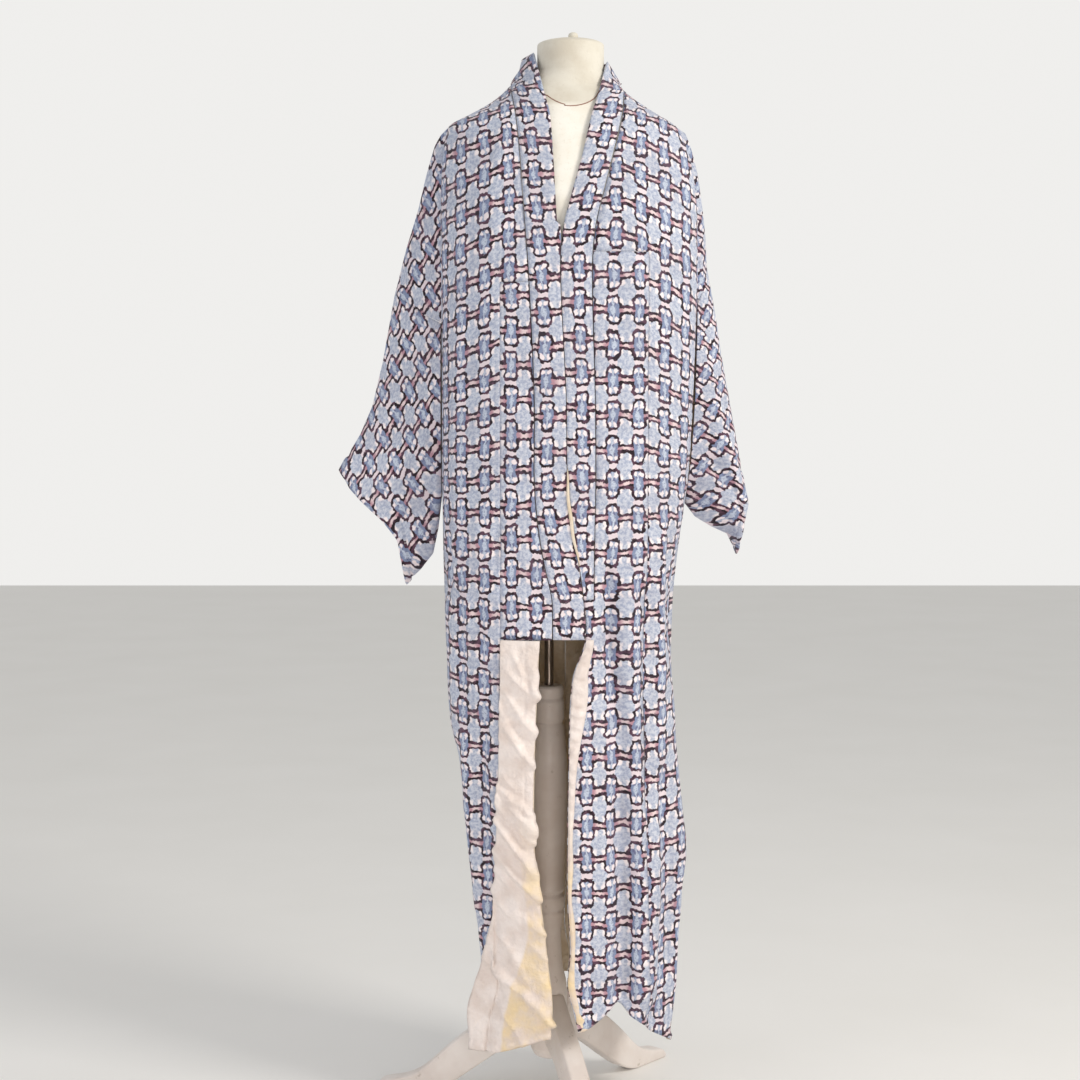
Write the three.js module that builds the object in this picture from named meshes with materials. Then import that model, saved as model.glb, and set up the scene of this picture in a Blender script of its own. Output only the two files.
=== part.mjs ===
// A lined silk kimono hanging open on a limbless dress form, which a turned three-legged stand carries.
// Millimetres, +Z up, the wearer faces -Y, so the wearer's right is at -X.
// The garment is made of cut pieces: each is a wall of cloth through rows of points on the draped form,
// 0.3 mm from the next piece at every seam. The form, pole, column and legs are solid.

import * as THREE from 'three';

// ---- Driving dimensions ----
const CLOTH = 2.0; // silk, padding and lining together
const COLLAR_CLOTH = 3.0; // the folded collar band
const SEAM = 0.3; // between two pieces at a seam
const ROUNDNESS = 2.4; // exponent of the body's sections: 2 is an ellipse
const SIDE_Y = 8; // the side seams and the shoulder line lie in this plane
const LIE = 0.5; // from a panel to what lies on it

// ---- The draped body: one row for each height ----
const BODY = [
  { z: 90, left: -133, right: 192, front: -134, back: 128 },
  { z: 166, left: -128, right: 198, front: -136, back: 130 },
  { z: 225, left: -112, right: 204, front: -137, back: 130 },
  { z: 300, left: -117, right: 208, front: -137, back: 130 },
  { z: 380, left: -123, right: 216, front: -137, back: 130 },
  { z: 434, left: -131, right: 222, front: -137, back: 130 },
  { z: 505, left: -136, right: 216, front: -137, back: 130 },
  { z: 582, left: -147, right: 209, front: -138, back: 130 },
  { z: 640, left: -160, right: 204, front: -138, back: 130 },
  { z: 740, left: -166, right: 199, front: -139, back: 129 },
  { z: 833, left: -169, right: 201, front: -140, back: 128 },
  { z: 900, left: -171, right: 207, front: -140, back: 127 },
  { z: 975, left: -172, right: 217, front: -140, back: 126 },
  { z: 1050, left: -173, right: 226, front: -140, back: 125 },
  { z: 1150, left: -173, right: 232, front: -140, back: 124 },
  { z: 1280, left: -173, right: 236, front: -140, back: 122 },
  { z: 1400, left: -173, right: 237, front: -136, back: 120 },
  { z: 1480, left: -173, right: 234, front: -124, back: 117 },
  { z: 1540, left: -170, right: 224, front: -108, back: 112 },
  { z: 1570, left: -165, right: 213, front: -98, back: 106 },
  { z: 1591, left: -158, right: 200, front: -90, back: 100 },
  { z: 1607, left: -128, right: 174, front: -82, back: 94 },
  { z: 1622, left: -100, right: 150, front: -74, back: 87 },
  { z: 1636, left: -80, right: 130, front: -66, back: 80 },
  { z: 1652, left: -64, right: 114, front: -54, back: 70 },
  { z: 1672, left: -50, right: 99, front: -40, back: 58 },
];

// Folds of the hanging cloth. angle: degrees round the body from its front, towards the wearer's left.
// width: degrees. depth: mm at the hem, outwards. top: height where the fold has died away.
const FOLDS = [
  { angle: -70, width: 7, depth: 7, top: 900 },
  { angle: -54, width: 6, depth: -10, top: 880 },
  { angle: 26, width: 6, depth: -17, top: 930 },
  { angle: 40, width: 7, depth: 8, top: 900 },
  { angle: 57, width: 7, depth: -12, top: 820 },
  { angle: 74, width: 7, depth: 10, top: 760 },
  { angle: 109, width: 7, depth: -15, top: 900 },
  { angle: 122, width: 8, depth: 12, top: 1000 },
  { angle: 141, width: 7, depth: -16, top: 980 },
  { angle: 160, width: 8, depth: 10, top: 900 },
  { angle: 196, width: 8, depth: 11, top: 940 },
  { angle: 216, width: 7, depth: -16, top: 1010 },
  { angle: 234, width: 8, depth: 12, top: 960 },
  { angle: 253, width: 7, depth: -14, top: 860 },
];

// Height of the hem round the body.
const HEM = [
  { angle: -90, z: 124 },
  { angle: -60, z: 122 },
  { angle: -45, z: 120 },
  { angle: -8, z: 156 },
  { angle: 8, z: 164 },
  { angle: 26, z: 202 },
  { angle: 34, z: 182 },
  { angle: 60, z: 140 },
  { angle: 90, z: 108 },
  { angle: 135, z: 150 },
  { angle: 180, z: 178 },
  { angle: 225, z: 148 },
  { angle: 270, z: 124 },
];

// Where the fronts meet, and the collar's seams beside them.
const FRONT_EDGES = [
  { z: 140, seamRight: 4, closeRight: 52, closeLeft: 44, seamLeft: 70 },
  { z: 214, seamRight: 4, closeRight: 52, closeLeft: 28, seamLeft: 70 },
  { z: 279, seamRight: 4, closeRight: 52, closeLeft: 33, seamLeft: 70 },
  { z: 375, seamRight: 4, closeRight: 52, closeLeft: 28, seamLeft: 70 },
  { z: 598, seamRight: 4, closeRight: 52, closeLeft: 30, seamLeft: 70 },
  { z: 725, seamRight: 4, closeRight: 52, closeLeft: 36, seamLeft: 70 },
  { z: 786, seamRight: 4, closeRight: 52, closeLeft: 56, seamLeft: 70 },
  { z: 849, seamRight: 3, closeRight: 50, closeLeft: 53, seamLeft: 70 },
  { z: 900, seamRight: -8, closeRight: 42, closeLeft: 46, seamLeft: 70 },
  { z: 960, seamRight: -18, closeRight: 31, closeLeft: 36, seamLeft: 71 },
  { z: 1035, seamRight: -24, closeRight: 24, closeLeft: 28, seamLeft: 72 },
  { z: 1158, seamRight: -24, closeRight: 24, closeLeft: 26, seamLeft: 71 },
  { z: 1356, seamRight: -33, closeRight: 15, closeLeft: 17, seamLeft: 66 },
  { z: 1422, seamRight: -38, closeRight: 12, closeLeft: 21, seamLeft: 71 },
  { z: 1478, seamRight: -42, closeRight: 9, closeLeft: 35, seamLeft: 84 },
  { z: 1533, seamRight: -46, closeRight: 6, closeLeft: 50, seamLeft: 98 },
  { z: 1598, seamRight: -53, closeRight: 1, closeLeft: 65, seamLeft: 113 },
  { z: 1640, seamRight: -60, closeRight: -9, closeLeft: 78, seamLeft: 118 },
  { z: 1660, seamRight: -63, closeRight: -12, closeLeft: 82, seamLeft: 119 },
];
const OKUMI_RIGHT = { seamX: -77, top: 1339, bottom: 786 };
const OKUMI_LEFT = { seamX: 153, top: 1385 };
const COLLAR_END = { right: 786, left: 849 };

// Below its own edge the right overlap is turned out: its fold and free edge at each height.
const TURNED = [
  { z: 132, fold: 1, free: -126 },
  { z: 216, fold: 4, free: -122 },
  { z: 280, fold: -2, free: -106 },
  { z: 376, fold: -13, free: -82 },
  { z: 456, fold: -22, free: -78 },
  { z: 600, fold: -22, free: -75 },
  { z: 786, fold: -15, free: -73 },
];
// The left front's edge is turned out too, this wide.
const TURNED_STRIP = [
  { z: 140, width: 14 },
  { z: 300, width: 8 },
  { z: 500, width: 9 },
  { z: 598, width: 14 },
  { z: 692, width: 26 },
  { z: 786, width: 12 },
];

// The collar stands round the neck: its seam on the body and its upper edge, from the wearer's right
// over the back to the left.
const NECK_BAND = [
  { turn: -90, seamX: -62, seamZ: 1654, edgeX: -25, edgeY: -4, edgeZ: 1704 },
  { turn: -60, seamX: -50, seamZ: 1650, edgeX: -44, edgeY: 40, edgeZ: 1697 },
  { turn: -30, seamX: -8, seamZ: 1644, edgeX: -8, edgeY: 84, edgeZ: 1694 },
  { turn: 0, seamX: 28, seamZ: 1640, edgeX: 28, edgeY: 92, edgeZ: 1692 },
  { turn: 30, seamX: 66, seamZ: 1644, edgeX: 64, edgeY: 84, edgeZ: 1694 },
  { turn: 60, seamX: 106, seamZ: 1650, edgeX: 93, edgeY: 42, edgeZ: 1694 },
  { turn: 90, seamX: 118, seamZ: 1654, edgeX: 92, edgeY: -4, edgeZ: 1690 },
];
const NECK_STEP = 10; // degrees
const BACK_SEAM_X = 28;

// Each arm: the shoulder fold out to the sleeve seam, the seam down to the underarm, and the sleeve's
// fold, lower edge and cuff, all as seen from the front.
const ARMS = {
  right: {
    side: -1,
    neck: { x: -62, z: 1654 },
    fold: [
      { x: -158, z: 1591 }, { x: -172, z: 1577 }, { x: -182, z: 1560 }, { x: -195, z: 1516 },
      { x: -209, z: 1458 }, { x: -229, z: 1395 }, { x: -247, z: 1325 },
    ],
    corner: { x: -196, z: 1290 }, // the seam turns down the body's side here
    root: 1279, // lowest row that reaches past the body's side
    underarm: 1000,
    top: [
      { x: -247, z: 1325 }, { x: -267, z: 1218 }, { x: -285, z: 1145 },
      { x: -305, z: 1100 }, { x: -322, z: 1072 }, { x: -338, z: 1042 },
    ],
    low: [{ x: -173, z: 1000 }, { x: -179, z: 950 }, { x: -188, z: 908 }, { x: -208, z: 882 }, { x: -233, z: 858 }],
    cuff: [
      { x: -338, z: 1042 }, { x: -322, z: 1015 }, { x: -300, z: 992 },
      { x: -268, z: 962 }, { x: -244, z: 930 }, { x: -233, z: 858 },
    ],
    halfDepth: 26,
    cuffDepth: 30,
    swing: 6,
  },
  left: {
    side: 1,
    neck: { x: 118, z: 1654 },
    fold: [
      { x: 200, z: 1591 }, { x: 217, z: 1579 }, { x: 227, z: 1551 }, { x: 237, z: 1514 },
      { x: 245, z: 1460 }, { x: 250, z: 1415 }, { x: 252, z: 1371 },
    ],
    corner: { x: 245, z: 1330 },
    root: 1310,
    underarm: 990,
    top: [
      { x: 252, z: 1371 }, { x: 267, z: 1292 }, { x: 277, z: 1228 },
      { x: 288, z: 1169 }, { x: 299, z: 1110 }, { x: 310, z: 1050 }, { x: 317, z: 1011 },
    ],
    low: [{ x: 219, z: 990 }, { x: 236, z: 968 }, { x: 262, z: 952 }, { x: 288, z: 940 }, { x: 304, z: 907 }],
    cuff: [{ x: 317, z: 1011 }, { x: 315, z: 975 }, { x: 310, z: 940 }, { x: 304, z: 907 }],
    halfDepth: 34,
    cuffDepth: 44,
    swing: 4,
  },
};

// Heights of the panels' rows, close together over the shoulder. The seams' own heights are among them.
const ROWS = [
  1591, 1589.5, 1587, 1582, 1574, 1563, 1549, 1529, 1501, 1464, 1424, OKUMI_LEFT.top, OKUMI_RIGHT.top,
  ARMS.left.root, ARMS.right.root, 1225, 1170, 1115, 1060, 1000, 950, 900, COLLAR_END.left,
  COLLAR_END.right, 725, 660, 595, 530, 465, 396, 330, 272, 215, 140,
];
const SHOULDER = ROWS[0];
const LAST_ROW = ROWS[ROWS.length - 1];
const SHOULDER_BLEND = 150; // rows follow the shoulder's slope for this far down
const HEM_BLEND = 430; // and the hem's line below this height
const PANEL_COLUMNS = 12;
const OKUMI_COLUMNS = 2; // of a front panel's columns, those above the overlap
const LEAD_SHARE = 0.3; // of its width on the shoulder
const ARM_STOPS = [0.1, 0.4, 0.7, 1]; // the columns' places along the arm's fold
const ARM_ROUND = 60; // how fast the cloth falls away inside the fold
const INNER_GAP = 0.1; // the inner side's distance from the seams' plane

// ---- The dress form and its stand ----
const FORM = [
  { z: 880, left: -118, right: 150, front: -104, back: 108 },
  { z: 890, left: -124, right: 158, front: -110, back: 113 },
  { z: 960, left: -132, right: 170, front: -116, back: 120 },
  { z: 1080, left: -128, right: 168, front: -116, back: 112 },
  { z: 1230, left: -92, right: 138, front: -96, back: 88 },
  { z: 1370, left: -126, right: 184, front: -127, back: 104 },
  { z: 1460, left: -152, right: 214, front: -120, back: 108 },
];
const SEAT = 0.9; // from the form's shoulders to the cloth
const BACK_SEAT = 2; // and more behind the shoulders
const NECK = { x: 34, radius: 53, base: 1676, top: 1716, cap: 1727 };
const FORM_SIDES = 32;
const POLE = { radius: 7.5, top: 879.7, bottom: 694.3 };
const KNOB = { x: 38, radius: 8, bottom: 1727.3, height: 10 };

// Profile of the turned column.
const COLUMN = [
  { z: 74, r: 12 }, { z: 80, r: 24 }, { z: 92, r: 30 }, { z: 192, r: 30 }, { z: 206, r: 28 },
  { z: 226, r: 23 }, { z: 248, r: 21 }, { z: 280, r: 20 }, { z: 308, r: 22 }, { z: 317, r: 25 },
  { z: 323, r: 23 }, { z: 330, r: 26 }, { z: 345, r: 26 }, { z: 351, r: 22 }, { z: 357, r: 26 },
  { z: 371, r: 24 }, { z: 430, r: 28 }, { z: 504, r: 31 }, { z: 580, r: 29 }, { z: 626, r: 25 },
  { z: 633, r: 22 }, { z: 640, r: 25 }, { z: 668, r: 25 }, { z: 674, r: 22 }, { z: 680, r: 24 },
  { z: 690, r: 24 }, { z: 694, r: 21 },
];
const COLUMN_SIDES = 16;
// A leg's side view, out from the column: its upper and lower line at each distance.
const LEG = [
  { out: 30.2, low: 104, high: 188 },
  { out: 70, low: 88, high: 158 },
  { out: 105, low: 64, high: 134 },
  { out: 140, low: 38, high: 108 },
  { out: 175, low: 14, high: 78 },
  { out: 200, low: 3, high: 54 },
  { out: 222, low: 0, high: 36 },
  { out: 250, low: 0, high: 24 },
  { out: 286, low: 0, high: 16 },
  { out: 294, low: 0, high: 8 },
];
const LEG_THICKNESS = 32;
const LEG_AZIMUTHS = { leg_left: 168, leg_front: -72, leg_back: 48 }; // degrees from +X, towards +Y

const COLOURS = {
  print: 0x9aa3b8,
  lining: 0xf0e6d8,
  calico: 0xe6dfce,
  paint: 0xd9d6d0,
  metal: 0x8c8279,
};

// ---- Small tools ----
const lerp = (a, b, t) => a + (b - a) * t;
const clamp = (v, low, high) => Math.min(high, Math.max(low, v));
const ease = (t) => {
  const u = clamp(t, 0, 1);
  return u * u * (3 - 2 * u);
};
const rad = (degrees) => (degrees * Math.PI) / 180;

// A table's column at a place on its key, on a smooth curve through its rows.
function read(table, key, at, column) {
  const last = table.length - 1;
  const up = table[last][key] > table[0][key] ? 1 : -1;
  let k = 0;
  while (k < last - 1 && up * at > up * table[k + 1][key]) k += 1;
  const slope = (i) => {
    const a = table[Math.max(i - 1, 0)];
    const b = table[Math.min(i + 1, last)];
    return (b[column] - a[column]) / (b[key] - a[key]);
  };
  const span = table[k + 1][key] - table[k][key];
  const t = clamp((at - table[k][key]) / span, 0, 1);
  const h = [2 * t ** 3 - 3 * t * t + 1, t ** 3 - 2 * t * t + t, 3 * t * t - 2 * t ** 3, t ** 3 - t * t];
  return (
    h[0] * table[k][column] + h[1] * span * slope(k) +
    h[2] * table[k + 1][column] + h[3] * span * slope(k + 1)
  );
}

// The point a fraction of the way along a line of { x, z } points.
function along(line, fraction) {
  const lengths = line.slice(1).map((p, i) => Math.hypot(p.x - line[i].x, p.z - line[i].z));
  let left = fraction * lengths.reduce((sum, d) => sum + d, 0);
  let k = 0;
  while (k < lengths.length - 1 && left > lengths[k]) {
    left -= lengths[k];
    k += 1;
  }
  const t = left / lengths[k];
  return { x: lerp(line[k].x, line[k + 1].x, t), z: lerp(line[k].z, line[k + 1].z, t) };
}

// ---- The body's surface ----
function section(z, table = BODY) {
  const left = read(table, 'z', z, 'left');
  const right = read(table, 'z', z, 'right');
  return {
    mid: (left + right) / 2,
    half: (right - left) / 2,
    front: SIDE_Y - read(table, 'z', z, 'front'),
    back: read(table, 'z', z, 'back') - SIDE_Y,
    power: lerp(ROUNDNESS, 2, ease((z - 1430) / 130)),
  };
}

const across = (s, x) => clamp((x - s.mid) / s.half, -1, 1);
const depthAt = (s, u) => Math.max(0, 1 - Math.abs(u) ** s.power) ** (1 / s.power);

// How far inside the body (below 1) or outside it a point lies.
function level(x, y, z) {
  const s = section(z);
  const depth = y < SIDE_Y ? s.front : s.back;
  return (Math.abs(x - s.mid) / s.half) ** s.power + (Math.abs(y - SIDE_Y) / depth) ** s.power;
}

function foldDepth(angle, z) {
  return FOLDS.reduce((sum, f) => {
    const turn = ((angle - f.angle + 540) % 360) - 180;
    return sum + f.depth * Math.exp(-((turn / f.width) ** 2)) * ease((f.top - z) / (f.top - LAST_ROW));
  }, 0);
}

// The surface at x and z on the front (face -1) or the back (face 1), and its normal.
function onBody(x, z, face, out = 0) {
  const s = section(z);
  const u = across(s, x);
  const depth = face < 0 ? s.front : s.back;
  const v = depthAt(s, u);
  const y = SIDE_Y + face * depth * v;
  const px = s.mid + s.half * u;
  const normal = new THREE.Vector3(
    (Math.sign(u) * Math.abs(u) ** (s.power - 1)) / s.half,
    (face * v ** (s.power - 1)) / depth,
    (level(px, y, z + 1) - level(px, y, z - 1)) / (2 * s.power),
  ).normalize();
  const lean = (Math.asin(u) * 180) / Math.PI;
  const angle = face < 0 ? lean : 180 - lean;
  const fold = foldDepth(angle, z);
  const step = 0.5;
  const run = Math.hypot(s.half * Math.cos(rad(angle)), depth * Math.sin(rad(angle))) * rad(2 * step);
  const rise = (foldDepth(angle + step, z) - foldDepth(angle - step, z)) / Math.max(run, 1);
  const tangent = new THREE.Vector3(-normal.y, normal.x, 0).normalize();
  const point = new THREE.Vector3(px, y, z).addScaledVector(normal, fold);
  normal.addScaledVector(tangent, -rise).normalize();
  return { point: point.addScaledVector(normal, out), normal };
}

// Below HEM_BLEND the rows close up or open out to end on the hem.
function hemmed(z, x, face) {
  if (z > HEM_BLEND) return z;
  const s = section(z);
  const lean = (Math.asin(across(s, x)) * 180) / Math.PI;
  const hem = read(HEM, 'angle', face < 0 ? lean : 180 - lean, 'z');
  return HEM_BLEND - ((HEM_BLEND - z) * (HEM_BLEND - hem)) / (HEM_BLEND - LAST_ROW);
}

// The cloth at a row's height and x: on the body, with the row drawn down or up to the hem's line.
function draped(x, z, face, out = 0) {
  const low = hemmed(z, x, face);
  const below = section(low);
  return onBody(low === z ? x : below.mid + below.half * across(section(z), x), low, face, out);
}

// ---- Walls of cloth ----
// A closed wall through rows of { point, normal }, its thickness laid inwards. keep says which cells exist,
// and a ring's last column joins its first.
function wall(rows, thickness, { keep = () => true, ring = false } = {}) {
  const high = rows.length;
  const wide = rows[0].length;
  const cells = ring ? wide : wide - 1;
  const at = (i, j, inner) => (i * wide + (j % wide)) * 2 + inner;
  const positions = [];
  for (const row of rows) {
    for (const { point, normal } of row) {
      positions.push(...point.toArray());
      positions.push(...point.clone().addScaledVector(normal, -thickness).toArray());
    }
  }
  const faces = [];
  const quad = (a, b, c, d) => faces.push(a, b, c, a, c, d);
  const kept = (i, j) => {
    const k = ring ? (j + cells) % cells : j;
    return i >= 0 && i < high - 1 && k >= 0 && k < cells && keep(i, k);
  };
  for (let i = 0; i < high - 1; i += 1) {
    for (let j = 0; j < cells; j += 1) {
      if (!kept(i, j)) continue;
      quad(at(i, j, 0), at(i + 1, j, 0), at(i + 1, j + 1, 0), at(i, j + 1, 0));
      quad(at(i, j, 1), at(i, j + 1, 1), at(i + 1, j + 1, 1), at(i + 1, j, 1));
      if (!kept(i - 1, j)) quad(at(i, j, 0), at(i, j + 1, 0), at(i, j + 1, 1), at(i, j, 1));
      if (!kept(i + 1, j)) quad(at(i + 1, j + 1, 0), at(i + 1, j, 0), at(i + 1, j, 1), at(i + 1, j + 1, 1));
      if (!kept(i, j - 1)) quad(at(i + 1, j, 0), at(i, j, 0), at(i, j, 1), at(i + 1, j, 1));
      if (!kept(i, j + 1)) quad(at(i, j + 1, 0), at(i + 1, j + 1, 0), at(i + 1, j + 1, 1), at(i, j + 1, 1));
    }
  }
  return outwards(positions, faces);
}

// Builds the geometry with its faces turned outwards and its unused points left out.
function outwards(positions, faces) {
  const corner = (k) => new THREE.Vector3(...positions.slice(3 * k, 3 * k + 3));
  let volume = 0;
  for (let f = 0; f < faces.length; f += 3) {
    volume += corner(faces[f]).dot(corner(faces[f + 1]).cross(corner(faces[f + 2])));
  }
  if (volume < 0) faces.reverse();
  const used = [...new Set(faces)];
  const place = new Map(used.map((k, n) => [k, n]));
  const geometry = new THREE.BufferGeometry();
  const points = used.flatMap((k) => positions.slice(3 * k, 3 * k + 3));
  geometry.setAttribute('position', new THREE.Float32BufferAttribute(points, 3));
  geometry.setIndex(faces.map((k) => place.get(k)));
  geometry.computeVertexNormals();
  return geometry;
}

// Gives rows of points the normals of their own surface, turned to the side that outward() points to.
function dress(rows, outward, ring = false) {
  const wide = rows[0].length;
  const get = (i, j) => {
    const k = ring ? (j + wide) % wide : clamp(j, 0, wide - 1);
    return rows[clamp(i, 0, rows.length - 1)][k];
  };
  return rows.map((row, i) => row.map((point, j) => {
    const down = get(i + 1, j).clone().sub(get(i - 1, j));
    const over = get(i, j + 1).clone().sub(get(i, j - 1));
    const normal = over.cross(down).normalize();
    if (normal.dot(outward(point, i, j)) < 0) normal.negate();
    return { point, normal };
  }));
}

// ---- Panels: front and back, right and left ----
const TAU = 2 * Math.PI;

// The armhole seam, from the shoulder fold's end by its corner down the body's side.
function rootPath(arm) {
  const below = ROWS.filter((z) => z <= arm.root && z > arm.underarm);
  const side = [...below, arm.underarm].map((z) => ({ x: sideX(arm, z), z }));
  return [arm.fold.at(-1), arm.corner, ...side];
}

function sideX(arm, z) {
  return read(BODY, 'z', z, arm.side < 0 ? 'left' : 'right');
}

// Fractions of the armhole seam at its corner and at the lowest row that reaches past the body.
function seamFractions(arm) {
  const path = rootPath(arm);
  const lengths = path.slice(1).map((p, i) => Math.hypot(p.x - path[i].x, p.z - path[i].z));
  const total = lengths.reduce((sum, d) => sum + d, 0);
  return { corner: lengths[0] / total, root: (lengths[0] + lengths[1]) / total };
}

// Half the depth of the armhole at a fraction of its seam from the top.
const lens = (fraction) => Math.sqrt(4 * clamp(fraction, 0, 1) * (1 - clamp(fraction, 0, 1)));

function armholeDepth(arm, z) {
  const { root } = seamFractions(arm);
  if (z <= arm.underarm) return SEAM / 2;
  const t = z >= arm.root
    ? (root * (SHOULDER - z)) / (SHOULDER - arm.root)
    : lerp(root, 1, (arm.root - z) / (arm.root - arm.underarm));
  return Math.max(SEAM / 2, arm.halfDepth * lens(t));
}

// The shoulder line's height at x.
function shoulderHeight(arm, x) {
  let low = SHOULDER;
  let high = BODY[BODY.length - 1].z;
  for (let n = 0; n < 30; n += 1) {
    const z = (low + high) / 2;
    if (arm.side * (sideX(arm, z) - x) > 0) low = z;
    else high = z;
  }
  return low;
}

// A panel's inner edge at a height: the collar's or the overlap's seam in front, the neck's or centre at the back.
function innerX(arm, z, face) {
  if (face < 0) return read(FRONT_EDGES, 'z', z, arm.side < 0 ? 'seamRight' : 'seamLeft');
  const half = arm.side < 0 ? NECK_BAND.slice(0, 4) : NECK_BAND.slice(3).reverse();
  return z <= half[3].seamZ ? BACK_SEAM_X : read(half, 'seamZ', z, 'seamX');
}

// Column spacing, closer towards the side, where the body turns.
const SPREAD_FROM = 8; // degrees
function spread(t) {
  const start = Math.sin(rad(SPREAD_FROM));
  return (Math.sin(rad(lerp(SPREAD_FROM, 90, t))) - start) / (1 - start);
}

// The side column of a row: x at the body's side, where the armhole or the side seam runs.
function rootX(arm, rowZ, face) {
  const s = section(rowZ);
  const reach = armholeDepth(arm, rowZ) / (face < 0 ? s.front : s.back);
  return s.mid + arm.side * s.half * (1 - reach ** s.power) ** (1 / s.power);
}

// One row of a panel, from its inner edge to the body's side. In front the third column is the straight
// seam with the overlap, below the shoulder.
function panelRow(arm, face, rowZ) {
  const flat = ease((SHOULDER - rowZ) / SHOULDER_BLEND);
  const okumi = arm.side < 0 ? OKUMI_RIGHT : OKUMI_LEFT;
  const seam = okumi.seamX + (arm.side * SEAM) / 2;
  const lead = face < 0 ? OKUMI_COLUMNS : 0;
  const firstZ = rowZ + (arm.neck.z - SHOULDER) * (1 - flat);
  return Array.from({ length: PANEL_COLUMNS }, (_, j) => {
    const past = spread((j - lead) / (PANEL_COLUMNS - 1 - lead));
    const g = j < lead ? (j / lead) * LEAD_SHARE : lerp(lead ? LEAD_SHARE : 0, 1, past);
    const shoulderX = lerp(arm.neck.x, arm.fold[0].x, g);
    const z = rowZ + (shoulderHeight(arm, shoulderX) - SHOULDER) * (1 - flat);
    if (rowZ === SHOULDER) {
      const edge = onBody(shoulderX, z, face);
      edge.point.set(shoulderX, SIDE_Y + (face * SEAM) / 2, z);
      edge.normal.setY(0).normalize();
      return edge;
    }
    const root = rootX(arm, rowZ, face);
    const inner = innerX(arm, firstZ, face) + (arm.side * SEAM) / 2;
    const sloped = lerp(inner, root, g);
    const straight = j < lead ? lerp(inner, seam, j / lead) : lerp(lead ? seam : inner, root, past);
    const x = lerp(sloped, straight, flat);
    const at = draped(x, z, face);
    if (j === PANEL_COLUMNS - 1) at.point.y = SIDE_Y + face * armholeDepth(arm, rowZ);
    if (j === PANEL_COLUMNS - 1 && rowZ <= arm.underarm) at.normal.setY(0).normalize();
    return at;
  });
}

// The arm's fold at a height, straight between its columns.
function foldX(arm, z) {
  const line = [0, ...ARM_STOPS].map((stop) => along(arm.fold, stop));
  const k = clamp(line.findIndex((p) => p.z <= z), 1, line.length - 1);
  return lerp(line[k - 1].x, line[k].x, (line[k - 1].z - z) / (line[k - 1].z - line[k].z));
}

// Past the body's side the upper rows run on down the arm to the sleeve's seam.
function armRow(arm, face, rowZ, root) {
  const part = clamp((SHOULDER - rowZ) / (SHOULDER - arm.root), 0, 1);
  const shoulderEnd = arm.fold[arm.fold.length - 1];
  const end = along([shoulderEnd, arm.corner], part);
  const seam = seamFractions(arm);
  return ARM_STOPS.map((stop, k) => {
    const t = lerp(stop, (k + 1) / ARM_STOPS.length, Math.min(1, ARM_STOPS.length * part));
    const fold = along(arm.fold, t);
    const chord = along([arm.fold[0], shoulderEnd], t);
    const depth = Math.max(SEAM / 2, arm.halfDepth * lens(part * lerp(seam.root, seam.corner, t)));
    const z = lerp(root.z, end.z, t) + (fold.z - chord.z) * (1 - part);
    const x = lerp(root.x, end.x, t) + (fold.x - chord.x) * (1 - part);
    const limit = arm.side * foldX(arm, z) - (depth * depth) / ARM_ROUND;
    return new THREE.Vector3(t < 1 ? arm.side * Math.min(arm.side * x, limit) : x, SIDE_Y + face * depth, z);
  });
}

// Tilts a normal so that the cloth's inner side stays on its own side of the shoulder and side seams.
function clearOfSeam({ point, normal }) {
  const room = Math.abs(point.y - SIDE_Y) - SEAM / 2;
  const most = Math.max(0, room - INNER_GAP) / CLOTH;
  if (Math.abs(normal.y) <= most) return { point, normal };
  const flat = Math.sqrt(1 - most * most) / Math.hypot(normal.x, normal.z);
  return { point, normal: new THREE.Vector3(normal.x * flat, Math.sign(normal.y) * most, normal.z * flat) };
}

function panel(arm, face) {
  const jog = ROWS.indexOf((arm.side < 0 ? OKUMI_RIGHT : OKUMI_LEFT).top);
  const lowest = ROWS.indexOf(arm.root);
  const last = PANEL_COLUMNS - 1;
  const body = ROWS.map((rowZ) => panelRow(arm, face, rowZ));
  const points = body.map((row, i) => {
    const flatRow = row.map(({ point }) => point);
    return flatRow.concat(armRow(arm, face, Math.max(ROWS[i], arm.root), flatRow[last]));
  });
  const own = dress(points, () => new THREE.Vector3(arm.side, face, 1));
  const joined = points.map((row, i) => row.map((point, j) => {
    if (j < last || (j === last && (i > lowest || i === 0))) return clearOfSeam(body[i][j]);
    const normal = own[i][j].normal;
    if (j === last) normal.add(new THREE.Vector3(arm.side, 0, 0)).normalize();
    return clearOfSeam({ point, normal });
  }));
  const keep = (i, j) => (j >= last ? i < lowest : face > 0 || i < jog || j >= OKUMI_COLUMNS);
  return wall(joined, CLOTH, { keep });
}

// ---- The overlaps beside the fronts' edges ----
const rowsBetween = (top, bottom) => ROWS.filter((z) => z <= top && z >= bottom);

// A row of an overlap between two places across it, on the body.
function overlapRow(z, xs, drop = 0) {
  return xs.map((x) => draped(x, z - drop, -1));
}

function rightOverlap() {
  const rows = rowsBetween(OKUMI_RIGHT.top, OKUMI_RIGHT.bottom).map((z, i) => {
    const outer = OKUMI_RIGHT.seamX + SEAM / 2;
    const inner = innerX(ARMS.right, z, -1) - SEAM / 2;
    return overlapRow(z, [0, 0.5, 1].map((t) => lerp(outer, inner, t)), i === 0 ? SEAM : 0);
  });
  return wall(rows, CLOTH);
}

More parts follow.
